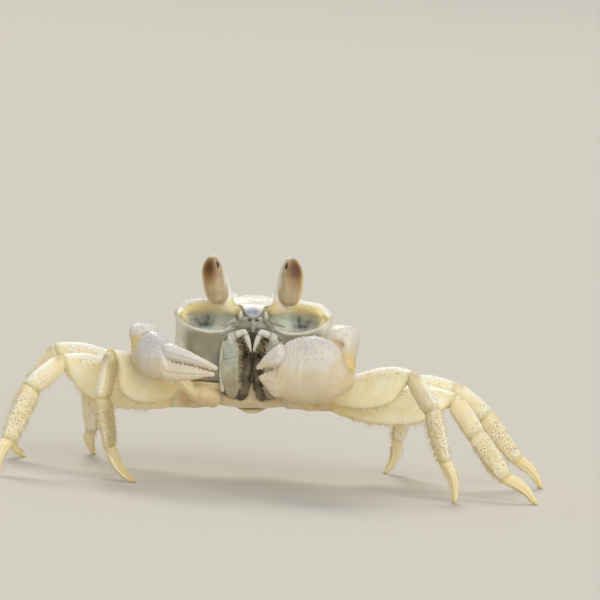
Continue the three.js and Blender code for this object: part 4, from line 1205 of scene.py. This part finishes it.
# Place along, top and bottom as shares of half the height, and thickness share.
palmLine = ((-0.085, -0.1, -0.28, 0.22), (-0.035, 0, -0.46, 0.45), (0.02, 0.12, -0.58, 0.6),
            (0.085, 0.37, -0.68, 0.74), (0.165, 0.66, -0.79, 0.86), (0.265, 0.86, -0.89, 0.96),
            (0.4, 0.97, -0.97, 1), (0.55, 1, -1, 1), (0.7, 0.96, -0.98, 0.95), (0.83, 0.87, -0.95, 0.86),
            (0.92, 0.77, -0.92, 0.79), (1.01, 0.66, -0.88, 0.73))
# Each part's finger in the same way but without thickness. Its edge meets the other finger: 1 is the
# upper edge, -1 the lower.
clawParts = {
    "hand": {"line": ((0.1, 0.0, -0.93), (0.35, -0.08, -0.84), (0.7, -0.2, -0.62), (1, -0.3, -0.4)),
             "edge": 1, "rows": 150, "cols": 112, "blunt": 0.02},
    "finger": {"line": ((0, 0.7, 0.0), (0.12, 0.65, 0.0), (0.4, 0.5, 0.0), (0.75, 0.25, -0.06),
                        (1, 0.0, -0.14)),
               "edge": -1, "rows": 80, "cols": 72, "blunt": 0.055},
}
fingerRoot, fingerTip = 0.7, 0.28  # thickness share at the root, and radius at the tip
# Place along the arm, and its radius as a share of the claw's thickness.
armLine = ((0, 0.16), (0.15, 0.23), (0.5, 0.285), (0.85, 0.26), (1, 0.2))
bigThickness = claws["left"]["thickness"]


def clawTurn(claw):
    yaw = math.radians(claw["yaw"])
    c, s = math.cos(yaw), math.sin(yaw)
    return np.array([[c, -s, 0], [s, c, 0], [0, 0, 1]]) @ aboutY(claw["pitch"])


def clawStations(claw, side, part):    # x, y, top, bottom and half thickness, in millimetres
    start, rows = claw["palm"] - claw["heel"], []
    if part == "finger":
        start += 1.3 * gap
    else:
        rows = [(a * claw["palm"] - claw["heel"], 0, top, bottom, deep) for a, top, bottom, deep in palmLine]
    for a, top, bottom in clawParts[part]["line"]:
        deep = mix(fingerRoot, 2 * fingerTip / claw["thickness"], a)
        rows.append((start + a * claw["finger"], -side * claw["turn"] * a ** 1.5, top, bottom, deep))
    tall, thick = claw["height"] / 2, claw["thickness"] / 2
    stations = np.array(rows) * (1, 1, tall, tall, thick)
    if part == "finger":           # the root goes back under the palm's edge
        root = stations[0] * (1, 1, 0.9, 1, 0.8) + (-0.9, 0, 0, 0.2, 0)
        stations = np.concatenate([[root], stations])
    return stations


def evenly(values, reach=10):      # takes the small kinks out of a run of values, ends kept
    weights = np.hanning(2 * reach + 3)[1:-1]
    before, after = 2 * values[0] - values[reach:0:-1], 2 * values[-1] - values[-2:-reach - 2:-1]
    return np.convolve(np.concatenate([before, values, after]), weights / weights.sum(), "valid")


def clawSkin(claw, side, part, salt):
    shape, isHand = clawParts[part], part == "hand"
    stations = clawStations(claw, side, part)
    last, end = stations[-1, 0], claw["palm"] - claw["heel"]
    t = domedRows(shape["rows"], shape["blunt"])
    x = mix(stations[0, 0], last + 0.12, t)
    y, top, bottom, half = [evenly(column) for column in columns(stations, x)]
    close = domed(t, shape["blunt"])
    half = evenly(evenly(half, 20), 20) * close
    reach = np.maximum((top - bottom) / 2, fingerTip) * close
    centres = np.stack([x, y, (top + bottom) / 2], -1)
    rings, angle = ovalRings(centres, -front, skyward, half, reach, reach, shape["cols"], 2.15)
    x, high, out = spread(x, angle), np.sin(angle), -np.cos(angle) * side
    inFinger = ease(end * 0.98, end + 0.5, x)
    lift = 0.05 * drift(rings, 1.6, salt) + 0.02 * drift(rings, 0.6, salt + 1)
    bumps = 0.045 + 0.07 * ease(-0.1, 0.9, high) ** 2 + 0.04 * bell(high, -0.95, 0.15)
    lift = lift + granules(rings, 0.5, salt + 2, 0.45) * bumps * (1 - 0.6 * inFinger)
    # Teeth along the edge where the two fingers meet, every third one larger.
    run = (x - end) / 0.52
    tooth = np.abs(np.sin(math.pi * run)) ** 1.5 * np.where(np.floor(run) % 3 == 1, 1.5, 1.0)
    lift = lift + 0.16 * bell(high, shape["edge"], 0.12) * tooth * inFinger * ease(last, last - 0.8, x)
    # A furrow and a ridge run along each finger.
    furrow = 0.08 * bell(high, 0.25, 0.18) - 0.07 * bell(high, -0.1, 0.16)
    lift = lift + inFinger * furrow * ease(last, last - 1, x)
    if isHand:
        # The palm's end edge is a raised lip, and its inner face has a rasp of fine cross bars.
        lift = lift + 0.02 * bell(x, end * 0.985, 0.16) * ease(-0.1, 0.2, high)
        rasp = bell(x, claw["palm"] * 0.72, 0.28) * ease(0.75, 0.95, -out) * ease(0.55, 0.3, np.abs(high))
        lift = lift + rasp * 0.12 * (0.5 + 0.5 * np.cos(2 * math.pi * rings[..., 2] / 0.24))
    rings = raised(rings, lift * close[:, None])
    cloud = drift(rings, 1.5, salt + 7)
    # The dotted upper zone ends along a line that sags in the palm's middle and climbs to the wrist.
    fromWrist = np.clip(x / claw["palm"], 0, 1.2)
    zone = 0.75 * ease(0.45, 0.0, fromWrist) ** 1.5 + 0.12 * ease(0.7, 1.0, fromWrist) - 0.08
    height = rings[..., 2] / (claw["height"] / 2) - zone
    dotted = ease(0.1, 0.5, height) * bell(x, claw["palm"] * 0.5, claw["palm"] * 0.36) * (1 - inFinger)
    # Painted light: below the zone's line warm is partly painted shade, above it pale and blue are partly
    # painted top light and sky sheen (skySheen); the dotted zone's greyer colour is the claw's own.
    warm = 0.3 * ease(-0.2, -0.9, height) + 0.2 * ease(0.1, 0.8, cloud) + 0.15 * inFinger
    if isHand:
        warm = warm + 0.5 * bell(x, end, 0.5) * bell(high, -0.1, 0.3)
    blue = 0.3 * ease(0.5, 0.95, height) + claw["skySheen"] * ease(-0.9, 0.2, height)
    shadow = 0.12 * ease(0.2, 0.8, height) * ease(0, 0.7, drift(rings, 0.9, salt + 9))
    return rings, {"pale": 0.5 * ease(-0.03, 0.25, height) + 0.25 * inFinger + 0.1 * cloud,
                   "warm": clamped(warm) * (1 - 0.4 * claw["skySheen"]),
                   "blue": clamped(blue) * (1 - 0.5 * inFinger),
                   "dusk": 0.1 * ease(0.0, 0.3, height) + shadow, "speck": 0.95 * dotted}


def clawArm(claw, hip, knob, salt):    # the merus, three-edged, from the trunk to the knuckle
    reach = 1 - (max(claw["knob"]) + gap) / np.linalg.norm(knob - hip) + 0.06
    t = domedRows(80, 0.05)
    close = domed(t, 0.05)
    path = mix(hip, knob, (t * reach)[:, None]) + front * (claw["bow"] * np.sin(math.pi * t))[:, None]
    radius = columns(armLine, t)[0] * claw["thickness"] * close
    rings, angle = ovalRings(path, *sweptFrames(path), radius, radius, radius, 72, 2.0)
    edges, t = np.cos(3 * (angle - math.pi / 2)), spread(t, angle)
    teeth = np.abs(np.sin(math.pi * t * 14)) * ease(0.8, 1, edges)
    lift = 0.12 * edges * ease(0, 0.2, t) + 0.1 * teeth + 0.03 * granules(rings, 0.4, salt)
    marks = {"warm": 0.4 + 0.3 * ease(0.4, 0, t), "pale": 0.5 * ease(0.6, 1, t) + 0.2 * ease(0.8, 1, edges),
             "speck": 0.4 * ease(0.4, 0.9, t)}
    return closedSkin(raised(rings, lift * close[:, None]), marks)


def clawKnob(claw, side, centre, wrist, size, salt):   # the carpus: a block with a lobe and a blunt tooth
    radii = np.array(claw["knob"])
    step, low = 0.12, np.minimum(centre - radii, wrist) - 1.7
    grid = fieldGrid(low, np.maximum(centre + radii, wrist) + 1.7, step)
    x, y, z = [(axis - c) / r for axis, c, r in zip(grid, centre, radii)]
    # The block narrows below and towards the trunk, under a blunt crest.
    x = x / (1 - 0.14 * clamped(-z) - 0.12 * clamped(y))
    knob = evened(sum(np.abs(q) ** 2.7 for q in (x, y, z)) ** (1 / 2.7) - 1, step)
    crest = [np.append(centre + radii * (side * across, along, rise), size * radius)
             for across, along, rise, radius in ((0.55, 0.6, 0.5, 0.24), (0.5, 0.0, 0.82, 0.3),
                                                 (0.1, -0.6, 0.8, 0.28), (-0.4, -0.85, 0.45, 0.2))]
    knob = union(knob, chained(grid, crest, links=14), 0.4)
    lobe = roundCone(grid, mix(centre, wrist, 0.15), mix(centre, wrist, 0.74), 1.75 * size, 1.22 * size)
    knob = union(knob, lobe, 0.7 * size)
    # A shallow hollow over the wrist, under a rounded ridge.
    dent = centre + radii * (-side * 0.35, -1.02, -0.05)
    knob = without(knob, ellipsoid(grid, dent, (1.1 * size, 0.3 * size, 0.6 * size)), 0.5)
    spur = centre + radii * (-side * 0.72, -0.78, 0.3)
    knob = union(knob, roundCone(grid, mix(centre, spur, 0.7), spur, 0.7 * size, 0.16), 0.3)
    points, faces, normals = netOver(knob, low, step)
    height = (points[:, 2] - centre[2]) / radii[2]
    lift = 0.09 * granules(points, 0.5, salt, 0.45) * ease(-0.4, 0.6, height)
    lift = lift + 0.07 * drift(points, 1.2, salt + 1)
    near = ease(2.2, 1.3, np.linalg.norm(points - mix(centre, wrist, 0.8), axis=1))
    near = np.maximum(near, 0.45 * ease(1.5 * size, 0.5 * size, np.linalg.norm(points - dent, axis=1)))
    # Painted light: pale on top is painted top light, blue is painted sky sheen and warm low down is painted
    # shade; near is the knob's own yellow skin at the wrist.
    marks = {"pale": (0.15 + 0.55 * ease(-0.1, 0.8, height)) * (1 - near),
             "blue": claw["skySheen"] * 0.7 * (1 - near), "warm": 0.25 * ease(0.1, -0.8, height) + 0.75 * near,
             "speck": 0.35 * ease(-0.3, 0.5, height)}
    return points + normals * lift[:, None], faces, marks


def addRoundSleeve(centre, along, radius, reach):
    across = unit(np.cross(along, front))
    addSleeve(centre, along, across, np.cross(across, along), radius, radius, radius, reach)


for sideName, side in sides.items():
    claw = claws[sideName]
    turn, size = clawTurn(claw), claw["thickness"] / bigThickness
    wrist, knob = [np.array(claw[joint]) + recentre for joint in ("wrist", "knuckle")]
    hip = fromTrunk(breast["clawHips"][sideName])
    for part in clawParts:
        rings, marks = clawSkin(claw, side, part, 500 + 20 * side + len(part))
        node = f"claw_{part}_{sideName}"
        addPiece(node + "_shell", closedSkin(rings @ turn.T + wrist, marks), "claw shell", "claws", node)
    skin, node = clawKnob(claw, side, knob, wrist, size, 560 + side), f"claw_carpus_{sideName}"
    addPiece(node + "_shell", skin, "claw shell", "claws", node)
    skin, node = clawArm(claw, hip, knob, 570 + side), f"claw_merus_{sideName}"
    addPiece(node + "_shell", skin, "leg shell", "legs", node)
    # Sleeves at the finger's hinge, the wrist, the elbow and the shoulder.
    hinge = wrist + turn @ (claw["palm"] - claw["heel"] + 0.15, 0, claw["height"] * 0.17)
    addSleeve(hinge, *turn.T, 1.05 * size, claw["height"] * 0.13, claw["height"] * 0.12, 0.5)
    addRoundSleeve(mix(wrist, knob, 0.1), unit(wrist - knob), 0.9 * size, 0.6)
    toKnob = unit(knob - hip)
    addRoundSleeve(knob - toKnob * (max(claw["knob"]) - 0.1), toKnob, 0.85 * size, 0.6)
    addRoundSleeve(hip, toKnob, 0.75 * size, 0.55)
addPiece("joint_membranes", joined(membranes), "joint membrane", "membranes")
print("claws and membranes made")


# Bristles: stiff setae along the legs' lower edges and feet, on the mouthparts and in a tuft on each side of
# the breastplate

bristles = {"Length": 0.75 * mm, "Thickness": 0.028 * mm, "Curl": 0.3, "Seed": 4}
# For each kind of segment: how many, where along it, which angles they stand at, and how long.
bristleRuns = {
    "merus": ((120, (0.15, 0.95), (260, 280), 1.25), (14, (0.2, 0.9), (84, 96), 0.4)),
    "carpus": ((26, (0.15, 0.9), (255, 285), 0.7), (12, (0.3, 0.95), (75, 105), 0.5)),
    "propodus": ((120, (0.1, 0.97), (240, 300), 1.2), (50, (0.1, 0.97), (70, 110), 0.7),
                 (40, (0.2, 0.95), (0, 360), 0.45)),
    "dactyl": ((70, (0.08, 0.8), (240, 300), 0.6), (60, (0.08, 0.8), (60, 120), 0.6)),
}
# On the left side's mouthparts; the right side's angles are mirrored.
mouthRuns = {
    "plate": ((170, (0.1, 0.95), (150, 205), 0.8), (60, (0.68, 0.98), (40, 150), 0.4)),
    "palp": ((70, (0.25, 0.98), (150, 260), 0.55),),
}
tuft = {"place": (8.4, -0.65, -4.6), "reach": 1.1, "count": 160, "length": 1.1}
rootDepth = 0.03
# Each bristle has a patch of its own on the bake map, placed where its root lies on an unwrap of
# the skin. The map is a ten by ten sheet of cells, and every skin has one cell.
patchRadius, sheet = 0.0015, 10
mouthCell, tuftCell = 40, 50       # the first cells of the mouthparts and tufts, after the legs' cells


def onSheet(cell, u, v):
    return np.stack([(cell % sheet + u) / sheet, (cell // sheet + v) / sheet], -1)


def bristleRoots(skin, count, span, angles, length, cell):
    rings, t = skin
    normals = gridNormals(rings)
    places = rng.uniform(*span, count)
    turns = np.radians(rng.uniform(*angles, count)) % (2 * math.pi) / (2 * math.pi)
    rows = np.clip(np.searchsorted(t[:, 0], places), 1, len(rings) - 1)
    cols = np.clip((turns * rings.shape[1]).astype(int), 0, rings.shape[1] - 1)
    root, normal = rings[rows, cols], normals[rows, cols]
    along = unit(root - rings[rows - 1, cols])
    lean = unit(normal + 0.75 * along + rng.normal(0, 0.22, (count, 3)))
    reach = length * rng.uniform(0.55, 1.1, count)
    return root - normal * rootDepth, lean, reach, onSheet(cell, turns, places)


def tuftRoots(side, cell):         # a brush of setae on the breastplate
    centre, reach, count = np.array(tuft["place"]) * (side, 1, 1), tuft["reach"], tuft["count"]
    skin, normals = breastSkin
    near = np.flatnonzero(np.linalg.norm(skin - centre, axis=1) < reach)
    pick = rng.choice(near, count)
    root, normal = skin[pick], normals[pick]
    lean = unit(normal + skyward * 0.5 + rng.normal(0, 0.25, (count, 3)))
    spot = onSheet(cell, *(0.5 + 0.4 * (root - centre) / reach).T[1:])
    return fromTrunk(root - normal * rootDepth), lean, tuft["length"] * rng.uniform(0.6, 1.1, count), spot


def bristleTree():
    tree = bpy.data.node_groups.new("setae", "GeometryNodeTree")
    for name, kind in (("Geometry", "Geometry"), ("Length", "Float"), ("Thickness", "Float"),
                       ("Curl", "Float"), ("Seed", "Int")):
        tree.interface.new_socket(name, in_out="INPUT", socket_type="NodeSocket" + kind)
    tree.interface.new_socket("Geometry", in_out="OUTPUT", socket_type="NodeSocketGeometry")
    given = addNode(tree, "NodeGroupInput")

    def times(a, b):
        return calculated(tree, "MULTIPLY", a, b)

    def stored(name, kind):
        settings = {"data_type": kind, "Name": name}
        return addNode(tree, "GeometryNodeInputNamedAttribute", settings)["Attribute"]

    cone = addNode(tree, "GeometryNodeMeshCone", {"Vertices": 4, "Side Segments": 3, "Radius Top": 0.15,
                                                  "Radius Bottom": 1.0, "Depth": 1.0})["Mesh"]
    place = addNode(tree, "GeometryNodeInputPosition")[0]
    height = addNode(tree, "ShaderNodeSeparateXYZ", {}, {0: place})[2]
    # The curl is divided by the thickness, because each cone is scaled to its thickness later.
    bow = calculated(tree, "DIVIDE", times(times(height, height), given["Curl"]), given["Thickness"])
    offset = addNode(tree, "ShaderNodeCombineXYZ", {}, {"X": times(bow, given["Length"])})[0]
    bent = addNode(tree, "GeometryNodeSetPosition", {}, {"Geometry": cone, "Offset": offset})[0]
    turned = addNode(tree, "FunctionNodeAlignRotationToVector", {"axis": "Z"},
                     {"Vector": stored("lean", "FLOAT_VECTOR")})[0]
    girth = addNode(tree, "FunctionNodeRandomValue", {"data_type": "FLOAT", 2: 0.75, 3: 1.25},
                    {"Seed": given["Seed"]})[1]
    wide, tall = times(girth, given["Thickness"]), times(stored("reach", "FLOAT"), given["Length"])
    size = addNode(tree, "ShaderNodeCombineXYZ", {}, {"X": wide, "Y": wide, "Z": tall})[0]
    grown = addNode(tree, "GeometryNodeInstanceOnPoints", {}, {"Points": given["Geometry"], "Instance": bent,
                                                               "Rotation": turned, "Scale": size})[0]
    real = addNode(tree, "GeometryNodeRealizeInstances", {}, {"Geometry": grown})[0]
    coloured = addNode(tree, "GeometryNodeSetMaterial", {"Material": finish["setae"]}, {"Geometry": real})[0]
    addNode(tree, "NodeGroupOutput", {}, {0: coloured})
    return tree


def growBristles(name, roots, tree):
    place, lean, reach, spot = [np.concatenate(column) for column in zip(*roots)]
    mesh = bpy.data.meshes.new(name + " roots")
    mesh.from_pydata((place * mm).tolist(), [], [])
    setMark(mesh, "lean", lean, "FLOAT_VECTOR", "vector")
    for mark, values in (("reach", reach), ("spotU", spot[:, 0]), ("spotV", spot[:, 1])):
        setMark(mesh, mark, values)
    holder = addObject(name + " roots", mesh)
    modifier = holder.modifiers.new("setae", "NODES")
    modifier.node_group = tree
    for item in tree.interface.items_tree:
        if item.in_out == "INPUT" and item.name in bristles:
            modifier[item.identifier] = bristles[item.name]
    mesh = bpy.data.meshes.new_from_object(holder.evaluated_get(bpy.context.evaluated_depsgraph_get()))
    bpy.data.objects.remove(holder)
    count = len(mesh.vertices)
    own = count // len(place)
    around = 2 * math.pi * (np.arange(count) % own) / own
    patches = patchRadius * np.stack([np.cos(around), np.sin(around)], -1)
    for axis, mark in enumerate(("spotU", "spotV")):
        middle = np.empty(count)
        mesh.attributes[mark].data.foreach_get("value", middle)
        patches[:, axis] += middle
    corner = np.empty(len(mesh.loops), dtype=int)
    mesh.loops.foreach_get("vertex_index", corner)
    for layer in list(mesh.uv_layers):
        mesh.uv_layers.remove(layer)
    mesh.uv_layers.new(name="OFBake").data.foreach_set("uv", patches[corner].ravel())
    piece = addObject(name, mesh)
    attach(piece, "root")
    print(name, len(place), "bristles", len(mesh.polygons), "faces")


tree = bristleTree()
for sideName, side in sides.items():
    isLeft, roots = side > 0, []
    for cell, (kind, runs) in enumerate(mouthRuns.items()):
        for count, span, angles, length in runs:
            angles = sorted(90 - side * (90 - a) for a in angles)
            skin, own = mouthSkins[sideName, kind], mouthCell + 2 * cell + isLeft
            place, *others = bristleRoots(skin, count, span, angles, length, own)
            roots.append((fromTrunk(place), *others))
    roots.append(tuftRoots(side, tuftCell + isLeft))
    for cell, ((number, skinSide, kind), skin) in enumerate(legSkins.items()):
        if skinSide == sideName:
            roots += [bristleRoots(skin, *run, cell) for run in bristleRuns[kind]]
    growBristles(f"setae_{sideName}", roots, tree)


# Stage: a pale floor that curves up behind, a broad soft light over and behind, and a fill in front

stage = {"halfWidth": 4.0, "front": -4.0, "back": 4.0, "radius": 1.0, "height": 3.0, "colour": "#d0cbc2"}
# A long lens low over the floor, looking a little down and rolled.
view = {"place": (0.002099, -0.645098, 0.079274), "down": 5.0, "roll": 3.5, "lens": 310.05}


def buildStage():
    turn = np.linspace(0, math.pi / 2, 24)
    end = stage["back"] + stage["radius"]
    y = np.concatenate([[stage["front"]], stage["back"] + stage["radius"] * np.sin(turn), [end]])
    z = np.concatenate([[0], stage["radius"] * (1 - np.cos(turn)), [stage["height"]]])
    points = [(x, a, b) for a, b in zip(y, z) for x in (-stage["halfWidth"], stage["halfWidth"])]
    faces = [(2 * i, 2 * i + 1, 2 * i + 3, 2 * i + 2) for i in range(len(y) - 1)]
    mesh = bpy.data.meshes.new("floor")
    mesh.from_pydata(points, [], faces)
    mesh.polygons.foreach_set("use_smooth", np.ones(len(faces), dtype=bool))
    material = bpy.data.materials.new("pale floor")
    material.use_nodes = True
    shader = material.node_tree.nodes["Principled BSDF"]
    for socket, value in (("Base Color", linear(stage["colour"])), ("Roughness", 0.9),
                          ("Specular IOR Level", 0.1)):
        shader.inputs[socket].default_value = value
    mesh.materials.append(material)
    addObject("floor", mesh)


def aim(thing, place, right, upward, ahead):
    turn = Matrix(np.stack([right, upward, -ahead], 1).tolist()).to_4x4()
    thing.matrix_world = Matrix.Translation(place) @ turn


def addLamp(name, towards, strength, softness, colour="#ffffff"):
    light = bpy.data.lights.new(name, "SUN")
    light.energy = strength
    light.angle = math.radians(softness)
    light.color = linear(colour)[:3]
    ahead = unit(np.array(towards, float))
    right = unit(np.cross(ahead, skyward))
    aim(addObject(name, light), -ahead, right, np.cross(right, ahead), ahead)


def addCamera():
    down, roll = math.radians(view["down"]), math.radians(view["roll"])
    ahead = np.array([0, math.cos(down), -math.sin(down)])
    level, above = np.array([1.0, 0, 0]), np.array([0, math.sin(down), math.cos(down)])
    lens = bpy.data.cameras.new("camera")
    lens.sensor_width = 36
    lens.lens = view["lens"]
    lens.clip_start = 0.01
    camera = addObject("camera", lens)
    aim(camera, view["place"], math.cos(roll) * level + math.sin(roll) * above,
        math.cos(roll) * above - math.sin(roll) * level, ahead)
    bpy.context.scene.camera = camera


buildStage()
addLamp("back light", (0.22, -0.75, -1.0), 1.4, 30, "#fffaf0")
addLamp("front fill", (-0.35, 0.8, -0.5), 1.45, 60)
world = bpy.data.worlds.new("studio")
world.use_nodes = True
background = world.node_tree.nodes["Background"]
background.inputs["Color"].default_value = linear("#f4f6f8")
background.inputs["Strength"].default_value = 0.5
bpy.context.scene.world = world
bpy.context.scene.view_settings.view_transform = "Standard"
addCamera()
